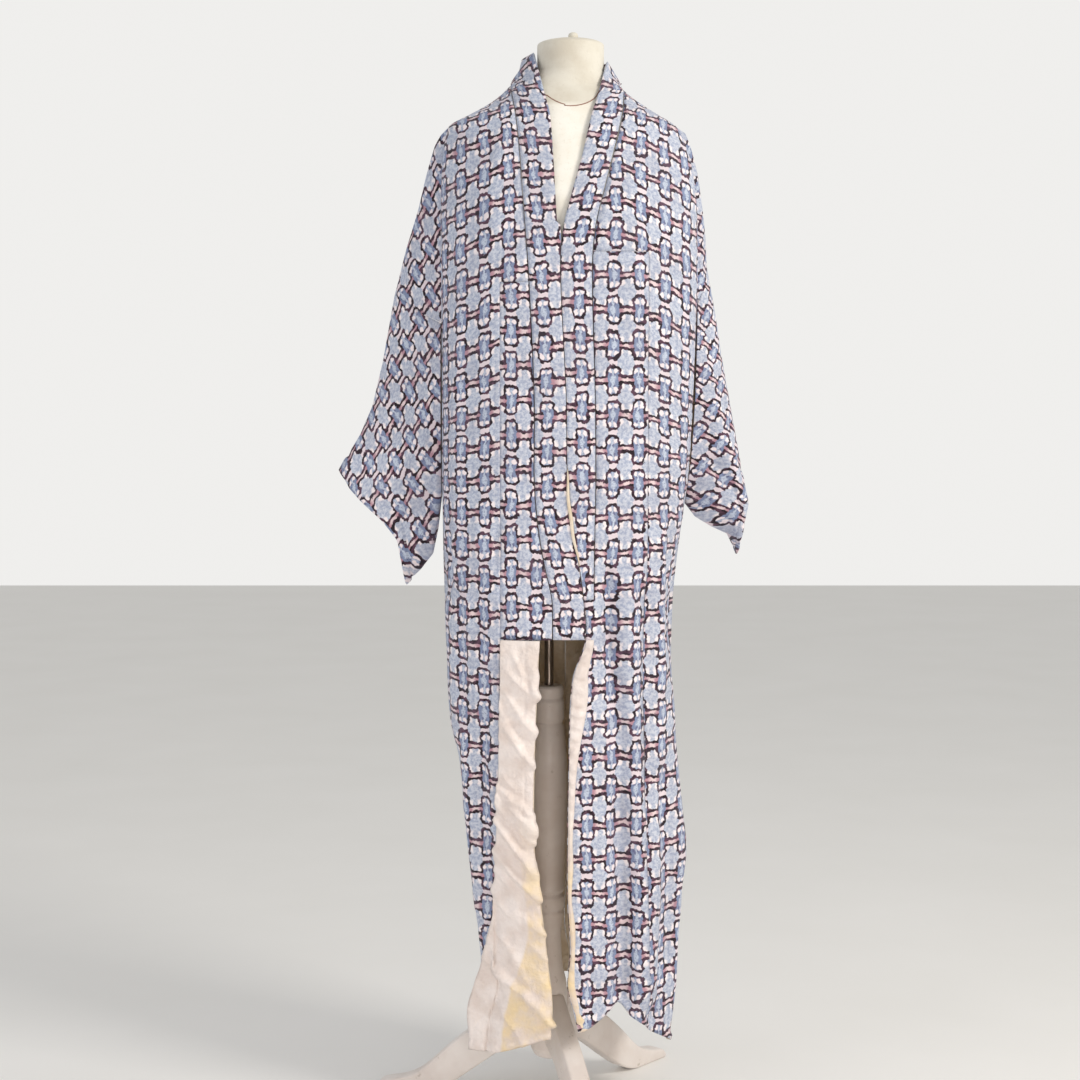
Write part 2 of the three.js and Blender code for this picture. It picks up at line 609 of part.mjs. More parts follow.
function leftOverlap() {
  const columns = 5;
  const collarEnd = ROWS.indexOf(COLLAR_END.left) - ROWS.indexOf(OKUMI_LEFT.top);
  const rows = rowsBetween(OKUMI_LEFT.top, LAST_ROW).map((z, i) => {
    const outer = OKUMI_LEFT.seamX - SEAM / 2;
    const collar = innerX(ARMS.left, z, -1) + SEAM / 2;
    const edge = read(FRONT_EDGES, 'z', Math.min(z, COLLAR_END.left), 'closeLeft');
    const xs = Array.from({ length: columns }, (_, k) => lerp(collar, outer, k / (columns - 1)));
    return overlapRow(z, [edge, ...xs], i === 0 ? SEAM : 0);
  });
  return wall(rows, CLOTH, { keep: (i, j) => j > 0 || i >= collarEnd });
}

// The right overlap's lower part: in from its seam, round its fold and back over itself, lining outwards.
const TURN = { lift: 7.4, round: 3.7, cloth: 1.6, flat: 0.74, slope: 0.4 };

// The front's surface, but past its flat part it runs straight on instead of round the side.
function besideBody(x, z) {
  const s = section(z);
  const limit = s.mid - TURN.flat * s.half;
  if (x > limit) return draped(x, z, -1);
  const at = draped(limit, z, -1);
  const t = ease((limit - x) / 12);
  at.point.x += x - limit;
  at.point.y += (limit - x) * TURN.slope;
  at.normal.lerp(new THREE.Vector3(-TURN.slope, -1, 0), t).normalize();
  return at;
}

function turnedRow(z, drop) {
  const fold = read(TURNED, 'z', Math.max(z, TURNED[0].z), 'fold') - TURN.cloth;
  const free = read(TURNED, 'z', Math.max(z, TURNED[0].z), 'free');
  const seam = OKUMI_RIGHT.seamX + SEAM / 2;
  const stops = [
    { x: seam, out: 0, turn: 0 },
    { x: lerp(seam, fold, 0.5), out: 0, turn: 0 },
    { x: fold - 4, out: 0, turn: 0 },
    { x: fold - 1, out: 1, turn: 45 },
    { x: fold, out: TURN.round, turn: 90 },
    { x: fold - 1, out: TURN.lift - 1, turn: 135 },
    { x: fold - 4, out: TURN.lift, turn: 180 },
    ...[0.2, 0.4, 0.6, 0.8, 1].map((t) => ({ x: lerp(fold - 4, free, t), out: TURN.lift, turn: 180 })),
  ];
  return stops.map(({ x, out, turn }) => {
    const { point, normal } = turn === 180 ? besideBody(x, z - drop) : draped(x, z - drop, -1);
    const over = new THREE.Vector3(normal.y, -normal.x, 0).normalize();
    const turned = normal.clone().multiplyScalar(Math.cos(rad(turn))).addScaledVector(over, Math.sin(rad(turn)));
    return { point: point.addScaledVector(normal, out), normal: turned };
  });
}

const turnedRows = () => rowsBetween(OKUMI_RIGHT.bottom, LAST_ROW);

function turnedOverlap() {
  return wall(turnedRows().map((z, i) => turnedRow(z, i === 0 ? SEAM : 0)), TURN.cloth);
}

// Linings lie on what is turned out.
const LINING = 1.0;

function rightLining() {
  const rows = turnedRows().map((z, i) => turnedRow(z, i === 0 ? SEAM : 0).slice(5).map(({ point, normal }) => {
    const outward = normal.clone().negate();
    return { point: point.clone().addScaledVector(outward, TURN.cloth + LIE + LINING), normal: outward };
  }));
  return wall(rows, LINING);
}

function leftLining() {
  const rows = rowsBetween(COLLAR_END.right, LAST_ROW).map((z) => {
    const edge = read(FRONT_EDGES, 'z', z, 'closeLeft') + 1;
    const width = read(TURNED_STRIP, 'z', z, 'width');
    return [0, 0.5, 1].map((t) => {
      const x = edge + width * t;
      return draped(x, z, -1, LIE + LINING + (t === 0.5 ? 1 : 0));
    });
  });
  return wall(rows, LINING);
}

// ---- The collar: up the right front, round the neck and down the left front ----
const COLLAR_STEPS = 3;
const COLLAR_LIFT = 2;
const COLLAR_ROWS = [1485, 1505, 1525, 1545, 1564, 1582, 1598, 1613, 1628, 1641];
const COLLAR_SEAM = 1.3; // its straight chords stay this far from the panels' curved edge

function frontCollarRow(arm, z) {
  const seam = innerX(arm, z, -1) - arm.side * COLLAR_SEAM;
  const close = read(FRONT_EDGES, 'z', z, arm.side < 0 ? 'closeRight' : 'closeLeft') + arm.side * SEAM;
  return Array.from({ length: COLLAR_STEPS + 1 }, (_, k) => (
    onBody(lerp(seam, close, k / COLLAR_STEPS), z, -1, COLLAR_LIFT)
  ));
}

function neckCollarRow(turn) {
  const of = (column) => read(NECK_BAND, 'turn', turn, column);
  const seam = onBody(of('seamX'), of('seamZ'), Math.abs(turn) === 90 ? -1 : 1, COLLAR_LIFT).point;
  seam.x += Math.sign(BACK_SEAM_X - seam.x) * COLLAR_SEAM;
  seam.z += COLLAR_SEAM;
  const edge = new THREE.Vector3(of('edgeX'), of('edgeY'), of('edgeZ'));
  return Array.from({ length: COLLAR_STEPS + 1 }, (_, k) => seam.clone().lerp(edge, k / COLLAR_STEPS));
}

function collar() {
  const heights = (bottom) => [bottom + SEAM].concat(ROWS.filter((z) => z > bottom && z < 1480).reverse(), COLLAR_ROWS);
  const up = heights(COLLAR_END.right).map((z) => frontCollarRow(ARMS.right, z));
  const down = heights(COLLAR_END.left).reverse().map((z) => frontCollarRow(ARMS.left, z));
  const turns = Array.from({ length: 180 / NECK_STEP + 1 }, (_, k) => k * NECK_STEP - 90);
  const rows = [
    ...up.map((row) => row.map(({ point }) => point)),
    ...turns.map(neckCollarRow),
    ...down.map((row) => row.map(({ point }) => point)),
  ];
  const centre = (point) => new THREE.Vector3(point.x - BACK_SEAM_X, point.y - SIDE_Y, 0);
  return wall(dress(rows, centre), COLLAR_CLOTH);
}

// ---- Sleeves: flat hanging tubes, open at the armhole and the cuff ----
const SLEEVE_STEPS = 10;
const SLEEVE_SIDES = 24;
const SLEEVE_GAP = 0.9;

// The sleeve's outline from four lines: its upper fold, its lower edge, the armhole seam and the cuff.
function sleevePoint(arm, s, v) {
  const root = rootPath(arm);
  const top = along(arm.top, s);
  const low = along(arm.low, s);
  const seam = along(root, v);
  const cuff = along(arm.cuff, v);
  const blend = (key) => (
    lerp(top[key], low[key], v) + lerp(seam[key], cuff[key], s) -
    lerp(lerp(root[0][key], arm.cuff[0][key], s), lerp(root.at(-1)[key], arm.cuff.at(-1)[key], s), v)
  );
  return { x: blend('x'), z: blend('z') };
}

// Places round the sleeve from its upper fold: as an ellipse has them, with the armhole's corners among them.
function sleeveFractions(arm) {
  const half = Array.from({ length: SLEEVE_SIDES / 2 + 1 }, (_, k) => (1 - Math.cos((TAU * k) / SLEEVE_SIDES)) / 2);
  const { corner, root } = seamFractions(arm);
  half[3] = corner;
  half[4] = root;
  return half;
}

function sleeve(arm) {
  const half = sleeveFractions(arm);
  const rows = Array.from({ length: SLEEVE_STEPS + 1 }, (_, i) => {
    const s = i / SLEEVE_STEPS;
    const depth = lerp(arm.halfDepth, arm.cuffDepth, ease(s));
    return Array.from({ length: SLEEVE_SIDES }, (_, k) => {
      const front = k <= SLEEVE_SIDES / 2;
      const v = half[front ? k : SLEEVE_SIDES - k];
      const { x, z } = sleevePoint(arm, s, v);
      const away = SLEEVE_GAP * (1 - ease(s));
      const y = SIDE_Y + arm.swing * s + (front ? -1 : 1) * depth * lens(v);
      return new THREE.Vector3(x + arm.side * away, y, z - away);
    });
  });
  const middle = (i) => {
    const sum = rows[i].reduce((total, point) => total.add(point), new THREE.Vector3());
    return sum.divideScalar(SLEEVE_SIDES);
  };
  return wall(dress(rows, (point, i) => point.clone().sub(middle(i)), true), CLOTH, { ring: true });
}

// ---- The dress form ----
// Its shoulders follow the body's surface, a cloth and a seat further in; the neck rises out of them.
function formRing(z) {
  const inset = (CLOTH + SEAT) * lerp(1.1, 1.95, ease((z - 1500) / 80));
  if (z > NECK.base) {
    return { mid: NECK.x, half: NECK.radius, front: NECK.radius, back: NECK.radius, power: 2 };
  }
  const torso = section(Math.min(z, 1460), FORM);
  const shoulder = section(z);
  const t = ease((z - 1400) / 90);
  const ring = { mid: 0, half: 0, front: 0, back: 0, power: lerp(2.2, shoulder.power, t) };
  for (const key of ['half', 'front', 'back']) ring[key] = lerp(torso[key], shoulder[key] - inset, t);
  ring.mid = lerp(torso.mid, shoulder.mid, t);
  ring.back -= BACK_SEAT * t;
  return ring;
}

function ringSolid(rings) {
  const positions = [];
  const faces = [];
  for (const { mid, half, front, back, power, z, y = SIDE_Y } of rings) {
    for (let k = 0; k < FORM_SIDES; k += 1) {
      const turn = (TAU * k) / FORM_SIDES;
      const c = Math.cos(turn);
      const s = Math.sin(turn);
      const depth = s < 0 ? front : back;
      positions.push(
        mid + half * Math.sign(c) * Math.abs(c) ** (2 / power),
        y + depth * Math.sign(s) * Math.abs(s) ** (2 / power),
        z,
      );
    }
  }
  const count = rings.length;
  for (let i = 0; i < count - 1; i += 1) {
    for (let k = 0; k < FORM_SIDES; k += 1) {
      const a = i * FORM_SIDES + k;
      const b = i * FORM_SIDES + ((k + 1) % FORM_SIDES);
      faces.push(a, b, b + FORM_SIDES, a, b + FORM_SIDES, a + FORM_SIDES);
    }
  }
  for (const [i, flip] of [[0, true], [count - 1, false]]) {
    const middle = positions.length / 3;
    positions.push(rings[i].mid, rings[i].y ?? SIDE_Y, rings[i].z);
    for (let k = 0; k < FORM_SIDES; k += 1) {
      const a = i * FORM_SIDES + k;
      const b = i * FORM_SIDES + ((k + 1) % FORM_SIDES);
      faces.push(...(flip ? [middle, b, a] : [middle, a, b]));
    }
  }
  return outwards(positions, faces);
}

function formTorso() {
  const heights = [
    880, 890, 960, 1080, 1160, 1230, 1300, 1370, 1420, 1460, 1500, 1530, 1549, 1563, 1574, 1582, 1590,
    1597, 1604, 1612, 1620, 1628, 1636, 1644,
  ];
  const rings = heights.map((z) => ({ z, ...formRing(z) }));
  const shoulderTop = rings[rings.length - 1];
  for (const t of [0.4, 0.75, 1]) {
    const ring = { z: lerp(1644, NECK.base, t), power: 2 };
    ring.mid = lerp(shoulderTop.mid, NECK.x, ease(t));
    for (const key of ['half', 'front', 'back']) {
      ring[key] = lerp(shoulderTop[key], NECK.radius, Math.sqrt(t));
    }
    rings.push(ring);
  }
  rings.push({ z: NECK.top, ...formRing(NECK.top) });
  for (const angle of [30, 60, 80]) {
    const radius = NECK.radius * Math.cos(rad(angle));
    const z = lerp(NECK.top, NECK.cap, Math.sin(rad(angle)) / Math.sin(rad(80)));
    rings.push({ z, mid: NECK.x, half: radius, front: radius, back: radius, power: 2 });
  }
  return ringSolid(rings);
}

function lathe(profile, sides) {
  const points = profile.map(({ r, z }) => new THREE.Vector2(r, z));
  points.unshift(new THREE.Vector2(0, profile[0].z));
  points.push(new THREE.Vector2(0, profile[profile.length - 1].z));
  const geometry = new THREE.LatheGeometry(points, sides);
  geometry.rotateX(Math.PI / 2);
  return geometry;
}

function pole() {
  return lathe([{ z: POLE.bottom, r: POLE.radius }, { z: POLE.top, r: POLE.radius }], 14);
}

function knob() {
  const { radius, bottom, height } = KNOB;
  return lathe([
    { z: bottom, r: radius * 0.8 }, { z: bottom + height * 0.45, r: radius },
    { z: bottom + height * 0.8, r: radius * 0.85 }, { z: bottom + height, r: radius * 0.4 },
  ], 14);
}

// ---- A leg: out of the column, over a knee and down to a flat foot ----
function leg() {
  const shape = new THREE.Shape();
  shape.moveTo(LEG[0].out, LEG[0].low);
  for (const { out, low } of LEG.slice(1)) shape.lineTo(out, low);
  for (const { out, high } of [...LEG].reverse()) shape.lineTo(out, high);
  const geometry = new THREE.ExtrudeGeometry(shape, { depth: LEG_THICKNESS, bevelEnabled: false, steps: 1 });
  geometry.translate(0, 0, -LEG_THICKNESS / 2);
  return geometry.rotateX(Math.PI / 2);
}

// ---- The object ----
const group = new THREE.Group();

function add(name, geometry, color, roughness, metalness = 0) {
  const mesh = new THREE.Mesh(geometry, new THREE.MeshStandardMaterial({ color, roughness, metalness }));
  mesh.name = name;
  group.add(mesh);
  return mesh;
}

add('form_torso', formTorso(), COLOURS.calico, 0.9);
add('form_knob', knob(), COLOURS.calico, 0.8).position.set(KNOB.x, SIDE_Y, 0);
add('pole', pole(), COLOURS.metal, 0.35, 0.9);
add('column', lathe(COLUMN, COLUMN_SIDES), COLOURS.paint, 0.5);
for (const [name, azimuth] of Object.entries(LEG_AZIMUTHS)) {
  add(name, leg(), COLOURS.paint, 0.5).rotation.z = rad(azimuth);
}
for (const [name, arm] of Object.entries(ARMS)) {
  add(`front_${name}`, panel(arm, -1), COLOURS.print, 0.85);
  add(`back_${name}`, panel(arm, 1), COLOURS.print, 0.85);
  add(`sleeve_${name}`, sleeve(arm), COLOURS.print, 0.85);
}
add('okumi_right', rightOverlap(), COLOURS.print, 0.85);
add('okumi_right_turned', turnedOverlap(), COLOURS.print, 0.85);
add('okumi_left', leftOverlap(), COLOURS.print, 0.85);
add('lining_right', rightLining(), COLOURS.lining, 0.6);
add('lining_left', leftLining(), COLOURS.lining, 0.6);
add('collar', collar(), COLOURS.print, 0.85);

// The origin is on the floor, under the middle of the whole.
group.updateMatrixWorld(true);
const box = new THREE.Box3().setFromObject(group, true);
group.position.set(-(box.min.x + box.max.x) / 2, -(box.min.y + box.max.y) / 2, -box.min.z);
group.updateMatrixWorld(true);

export default group;
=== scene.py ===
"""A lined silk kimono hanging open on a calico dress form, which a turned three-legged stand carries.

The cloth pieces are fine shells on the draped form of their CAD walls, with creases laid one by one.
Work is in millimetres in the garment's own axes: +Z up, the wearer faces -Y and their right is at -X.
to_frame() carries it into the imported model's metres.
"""

import functools
import math

import bmesh
import bpy
import numpy as np
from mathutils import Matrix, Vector


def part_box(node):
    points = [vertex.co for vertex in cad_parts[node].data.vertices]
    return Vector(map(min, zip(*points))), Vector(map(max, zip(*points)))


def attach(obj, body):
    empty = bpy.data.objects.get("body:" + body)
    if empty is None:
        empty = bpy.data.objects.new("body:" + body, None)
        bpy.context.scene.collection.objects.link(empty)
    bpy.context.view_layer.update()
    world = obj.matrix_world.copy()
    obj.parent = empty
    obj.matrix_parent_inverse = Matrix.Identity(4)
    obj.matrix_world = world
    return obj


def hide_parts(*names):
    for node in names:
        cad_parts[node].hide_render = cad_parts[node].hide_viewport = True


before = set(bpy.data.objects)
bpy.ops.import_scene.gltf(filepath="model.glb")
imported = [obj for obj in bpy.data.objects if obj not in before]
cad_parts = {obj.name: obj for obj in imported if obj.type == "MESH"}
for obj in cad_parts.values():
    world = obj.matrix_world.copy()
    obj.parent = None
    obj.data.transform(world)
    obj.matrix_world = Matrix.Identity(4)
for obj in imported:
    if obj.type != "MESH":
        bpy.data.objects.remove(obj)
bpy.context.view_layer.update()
MM = 0.001

# The column stands on the garment's own origin.
COLUMN_LOW, COLUMN_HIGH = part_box("column")
SHIFT = np.array([
    (COLUMN_LOW.x + COLUMN_HIGH.x) / 2, (COLUMN_LOW.y + COLUMN_HIGH.y) / 2, 0.0,
])


def table(names, *rows):
    """A table with named columns."""
    return {name: [row[k] for row in rows] for k, name in enumerate(names.split())}


# ---- Cloth ----
CLOTH = 1.8  # the lined cloth's thickness
COLLAR_CLOTH = 2.8
SEAM = 0.3  # the gap at a seam
ROUNDNESS = 2.4  # the power of the body's oval
SIDE_Y = 8.0  # where fronts and backs meet
CREASE_STRENGTH = 1.7
STITCH_DEPTH, STITCH_WIDTH = 0.5, 4.0
FRONTWARD = np.array([0.0, -1.0, 0.0])

BODY = table(
    "z left right front back",
    (90, -133, 192, -134, 128), (166, -128, 198, -136, 130), (225, -112, 204, -137, 130),
    (300, -117, 208, -137, 130), (380, -123, 216, -137, 130), (434, -131, 222, -137, 130),
    (505, -136, 216, -137, 130), (582, -147, 209, -138, 130), (640, -160, 204, -138, 130),
    (740, -166, 199, -139, 129), (833, -169, 201, -140, 128), (900, -171, 207, -140, 127),
    (975, -172, 217, -140, 126), (1050, -173, 226, -140, 125), (1150, -173, 232, -140, 124),
    (1280, -173, 236, -140, 122), (1400, -173, 237, -136, 120), (1480, -173, 234, -124, 117),
    (1540, -170, 224, -108, 112), (1570, -165, 213, -98, 106), (1591, -158, 200, -90, 100),
    (1607, -128, 174, -82, 94), (1622, -100, 150, -74, 87), (1636, -80, 130, -66, 80),
    (1652, -64, 114, -54, 70), (1672, -50, 99, -40, 58),
)

# Folds of the hanging cloth: degrees round the body from its front, depth at the hem.
FOLDS = table(
    "angle width depth top",
    (-70, 7, 7, 900), (-54, 6, -10, 880), (26, 6, -17, 930), (40, 7, 8, 900), (57, 7, -12, 820),
    (74, 7, 10, 760), (109, 7, -15, 900), (122, 8, 12, 1000), (141, 7, -16, 980), (160, 8, 10, 900),
    (196, 8, 11, 940), (216, 7, -16, 1010), (234, 8, 12, 960), (253, 7, -14, 860),
)
HEM = table(
    "angle z",
    (-90, 124), (-60, 122), (-45, 120), (-8, 156), (8, 164), (26, 202), (34, 182), (60, 140),
    (90, 108), (135, 150), (180, 178), (225, 148), (270, 124),
)
FRONT_EDGES = table(
    "z seamRight closeRight closeLeft seamLeft",
    (140, 4, 52, 44, 70), (214, 4, 52, 28, 70), (279, 4, 52, 33, 70), (375, 4, 52, 28, 70),
    (598, 4, 52, 30, 70), (725, 4, 52, 36, 70), (786, 4, 52, 56, 70), (849, 3, 50, 53, 70),
    (900, -8, 42, 46, 70), (960, -18, 31, 36, 71), (1035, -24, 24, 28, 72), (1158, -24, 24, 26, 71),
    (1356, -33, 15, 17, 66), (1422, -38, 12, 21, 71), (1478, -42, 9, 35, 84), (1533, -46, 6, 50, 98),
    (1598, -53, 1, 65, 113), (1640, -60, -9, 78, 118), (1660, -63, -12, 82, 119),
)
OKUMI = {"right": {"seam": -77.0, "top": 1339.0}, "left": {"seam": 153.0, "top": 1385.0}}
RIGHT_BOTTOM = 786.0
COLLAR_END = {"right": 786.0, "left": 849.0}
TURNED = table(
    "z fold free",
    (132, 1, -126), (216, 4, -122), (280, -2, -106), (376, -13, -82), (456, -22, -78),
    (600, -22, -75), (786, -15, -73),
)
TURNED_STRIP = table("z width", (140, 14), (300, 8), (500, 9), (598, 14), (692, 26), (786, 12))
NECK_BAND = table(
    "turn seamX seamZ edgeX edgeY edgeZ",
    (-90, -62, 1654, -25, -4, 1704), (-60, -50, 1650, -44, 40, 1697), (-30, -8, 1644, -8, 84, 1694),
    (0, 28, 1640, 28, 92, 1692), (30, 66, 1644, 64, 84, 1694), (60, 106, 1650, 93, 42, 1694),
    (90, 118, 1654, 92, -4, 1690),
)
BACK_SEAM_X = 28.0

ARMS = {
    "right": {
        "side": -1, "neck": (-62, 1654),
        "fold": [
            (-158, 1591), (-172, 1577), (-182, 1560), (-195, 1516), (-209, 1458), (-229, 1395), (-247, 1325),
        ],
        "corner": (-196, 1290), "root": 1279.0, "underarm": 1000.0,
        "top": [(-247, 1325), (-267, 1218), (-285, 1145), (-305, 1100), (-322, 1072), (-338, 1042)],
        "low": [(-173, 1000), (-179, 950), (-188, 908), (-208, 882), (-233, 858)],
        "cuff": [(-338, 1042), (-322, 1015), (-300, 992), (-268, 962), (-244, 930), (-233, 858)],
        "halfDepth": 26, "cuffDepth": 30, "swing": 6,
    },
    "left": {
        "side": 1, "neck": (118, 1654),
        "fold": [(200, 1591), (217, 1579), (227, 1551), (237, 1514), (245, 1460), (250, 1415), (252, 1371)],
        "corner": (245, 1330), "root": 1310.0, "underarm": 990.0,
        "top": [(252, 1371), (267, 1292), (277, 1228), (288, 1169), (299, 1110), (310, 1050), (317, 1011)],
        "low": [(219, 990), (236, 968), (262, 952), (288, 940), (304, 907)],
        "cuff": [(317, 1011), (315, 975), (310, 940), (304, 907)],
        "halfDepth": 34, "cuffDepth": 44, "swing": 4,
    },
}

ROWS = [
    1591, 1589.5, 1587, 1582, 1574, 1563, 1549, 1529, 1501, 1464, 1424, 1385, 1339, 1310, 1279, 1225,
    1170, 1115, 1060, 1000, 950, 900, 849, 786, 725, 660, 595, 530, 465, 396, 330, 272, 215, 140,
]
SHOULDER, LAST_ROW = ROWS[0], ROWS[-1]
SHOULDER_BLEND = 150  # the height over which slanting rows become level
HEM_BLEND = 430  # below this the rows are drawn to the hem's line
LEAD_SHARE = 0.3  # the part of the shoulder above the overlap
LEAD_COLUMNS, PANEL_COLUMNS = 2, 11
ARM_STOPS = (0, 0.1, 0.4, 0.7, 1)
ARM_ROUND = 60  # how slowly the cloth falls away inside the arm's fold
ROW_STEP = 7.0

# ---- The dress form and its stand ----
FORM = table(
    "z left right front back",
    (880, -118, 150, -104, 108), (890, -124, 158, -110, 113), (960, -132, 170, -116, 120),
    (1080, -128, 168, -116, 112), (1230, -92, 138, -96, 88), (1370, -126, 184, -127, 104),
    (1460, -152, 214, -120, 108),
)
NECK = {"x": 34, "radius": 53, "base": 1676, "top": 1716, "cap": 1727}
POLE = {"radius": 7.5, "top": 879.7, "bottom": 694.3}
KNOB = {"x": 38, "radius": 8, "bottom": 1727.3, "height": 10}
COLUMN = table(
    "z r",
    (74, 12), (80, 24), (92, 30), (192, 30), (206, 28), (226, 23), (248, 21), (280, 20), (308, 22),
    (317, 25), (323, 23), (330, 26), (345, 26), (351, 22), (357, 26), (371, 24), (430, 28), (504, 31),
    (580, 29), (626, 25), (633, 22), (640, 25), (668, 25), (674, 22), (680, 24), (690, 24), (694, 21),
)
LEG = table(
    "out low high",
    (30.2, 104, 188), (70, 88, 158), (105, 64, 134), (140, 38, 108), (175, 14, 78), (200, 3, 54),
    (222, 0, 36), (250, 0, 24), (286, 0, 16), (294, 0, 8),
)
LEG_THICKNESS = 32
LEG_AZIMUTHS = {"leg_left": 168, "leg_front": -72, "leg_back": 48}

# ---- Creases ----
# Troughs (depth below 0) and ridges of the hanging cloth, each from one place to another: x as seen from
# the front, height, half width and depth.
FRONT_CREASES = table(
    "x1 z1 x2 z2 width depth",
    (-158, 1500, -163, 1240, 9, -5), (-163, 1240, -165, 850, 7, -7), (-81, 1360, -82, 1100, 5, -4),
    (-82, 1100, -80, 905, 6, -5), (-140, 1440, -146, 900, 12, 3), (-124, 915, -106, 780, 9, -5),
    (-118, 1300, -112, 960, 16, -2.5), (-104, 1010, -126, 800, 10, 3),
    (-30, 1560, -44, 1400, 14, -1.5), (-66, 1585, -92, 1410, 13, 1.8), (-100, 1570, -132, 1430, 12, -2),
    (60, 1120, 84, 930, 9, -4), (72, 1060, 96, 900, 8, 4), (97, 1180, 105, 950, 8, -4),
    (90, 915, 106, 690, 11, -9), (106, 700, 128, 190, 11, -5), (120, 880, 133, 640, 12, 4),
    (133, 690, 146, 205, 10, 3), (150, 870, 158, 420, 11, -4), (178, 980, 172, 560, 12, 4),
    (196, 1140, 192, 760, 10, -5), (231, 1140, 226, 980, 8, -7), (150, 1540, 190, 1320, 18, -2.2),
    (112, 1500, 132, 1250, 16, 2), (196, 1480, 214, 1240, 13, -3), (168, 1250, 182, 1020, 15, -2.5),
    (86, 1420, 92, 1200, 14, -1.6), (40, 1330, 44, 1120, 10, 1.5),
    (-150, 860, -128, 640, 9, -4), (-138, 700, -118, 330, 9, 3), (-100, 720, -112, 480, 8, -4),
    (186, 560, 196, 240, 10, -4), (164, 420, 168, 180, 9, 4),
)
BACK_CREASES = table(
    "x1 z1 x2 z2 width depth",
    (-158, 1500, -164, 1240, 9, -4), (-164, 1240, -165, 850, 7, -7), (-120, 1500, -132, 1180, 15, -3),
    (-84, 1420, -92, 1000, 13, 2.5), (-96, 1040, -120, 720, 11, -5), (-52, 1560, -60, 1260, 15, -2),
    (-44, 1160, -62, 640, 13, 3), (-14, 1480, -10, 1080, 14, -2.2), (-8, 980, -22, 460, 12, -4),
    (60, 1520, 66, 1180, 15, -2.4), (58, 1090, 76, 560, 13, 4), (96, 1440, 108, 1000, 14, 2.6),
    (104, 1020, 122, 540, 12, -6), (140, 1500, 158, 1160, 15, -3), (150, 1120, 164, 640, 12, 4),
    (192, 1400, 204, 1040, 13, -4), (196, 1060, 190, 560, 10, -5), (228, 1180, 222, 960, 8, -6),
    (30, 700, 34, 300, 12, 3), (-96, 560, -104, 240, 10, -4),
)


# ---- Small tools ----
def crumples(seed, count, x_span, z_span, length, lean, width, depth):
    """Short creases at random places: lean is their sideways run for each unit downwards."""
    rng = np.random.default_rng(seed)
    rows = []
    for _ in range(count):
        x, z, run = rng.uniform(*x_span), rng.uniform(*z_span), rng.uniform(*length)
        side = run * rng.uniform(*lean)
        rows.append((x, z, x + side, z - run, rng.uniform(*width), rng.uniform(*depth) * rng.choice([-1, 1])))
    return table("x1 z1 x2 z2 width depth", *rows)


def lerp(a, b, t):
    return a + (b - a) * t


def clamp(value, low, high):
    return min(high, max(low, value))


def ease(t):
    u = clamp(t, 0.0, 1.0)
    return u * u * (3 - 2 * u)


def smooth(t):
    u = np.clip(t, 0.0, 1.0)
    return u * u * (3 - 2 * u)


def read(data, key, at, column):
    """A table's column at a place on its key, on a smooth curve through its rows."""
    keys, values = data[key], data[column]
    last = len(keys) - 1
    up = 1 if keys[last] > keys[0] else -1
    k = 0
    while k < last - 1 and up * at > up * keys[k + 1]:
        k += 1

    def slope(i):
        a, b = max(i - 1, 0), min(i + 1, last)
        return (values[b] - values[a]) / (keys[b] - keys[a])

    span = keys[k + 1] - keys[k]
    t = clamp((at - keys[k]) / span, 0, 1)
    return (
        (2 * t**3 - 3 * t * t + 1) * values[k] + (t**3 - 2 * t * t + t) * span * slope(k)
        + (3 * t * t - 2 * t**3) * values[k + 1] + (t**3 - t * t) * span * slope(k + 1)
    )


def along(line, fraction):
    """The point a fraction of the way along a line of (x, z) points."""
    lengths = [math.dist(a, b) for a, b in zip(line, line[1:])]
    left = fraction * sum(lengths)
    k = 0
    while k < len(lengths) - 1 and left > lengths[k]:
        left -= lengths[k]
        k += 1
    t = left / lengths[k]
    return lerp(line[k][0], line[k + 1][0], t), lerp(line[k][1], line[k + 1][1], t)


def fine(stops, step):
    """The same stops with more between them, no further apart than step."""
    out = [stops[0]]
    for a, b in zip(stops, stops[1:]):
        count = max(1, math.ceil(abs(b - a) / step))
        out += [lerp(a, b, (k + 1) / count) for k in range(count)]
    return out


# ---- The body's surface ----
@functools.lru_cache(maxsize=None)
def section(z, form=False):
    data = FORM if form else BODY
    left, right = read(data, "z", z, "left"), read(data, "z", z, "right")
    front, back = SIDE_Y - read(data, "z", z, "front"), read(data, "z", z, "back") - SIDE_Y
    power = lerp(ROUNDNESS, 2, ease((z - 1430) / 130))
    return (left + right) / 2, (right - left) / 2, front, back, power


def across(s, x):
    return clamp((x - s[0]) / s[1], -1, 1)


def level(x, y, z):
    mid, half, front, back, power = section(z)
    depth = front if y < SIDE_Y else back
    return (abs(x - mid) / half) ** power + (abs(y - SIDE_Y) / depth) ** power


def fold_depth(angle, z):
    total = 0.0
    for centre, width, depth, top in zip(*FOLDS.values()):
        turn = (angle - centre + 540) % 360 - 180
        total += depth * math.exp(-((turn / width) ** 2)) * ease((top - z) / (top - LAST_ROW))
    return total


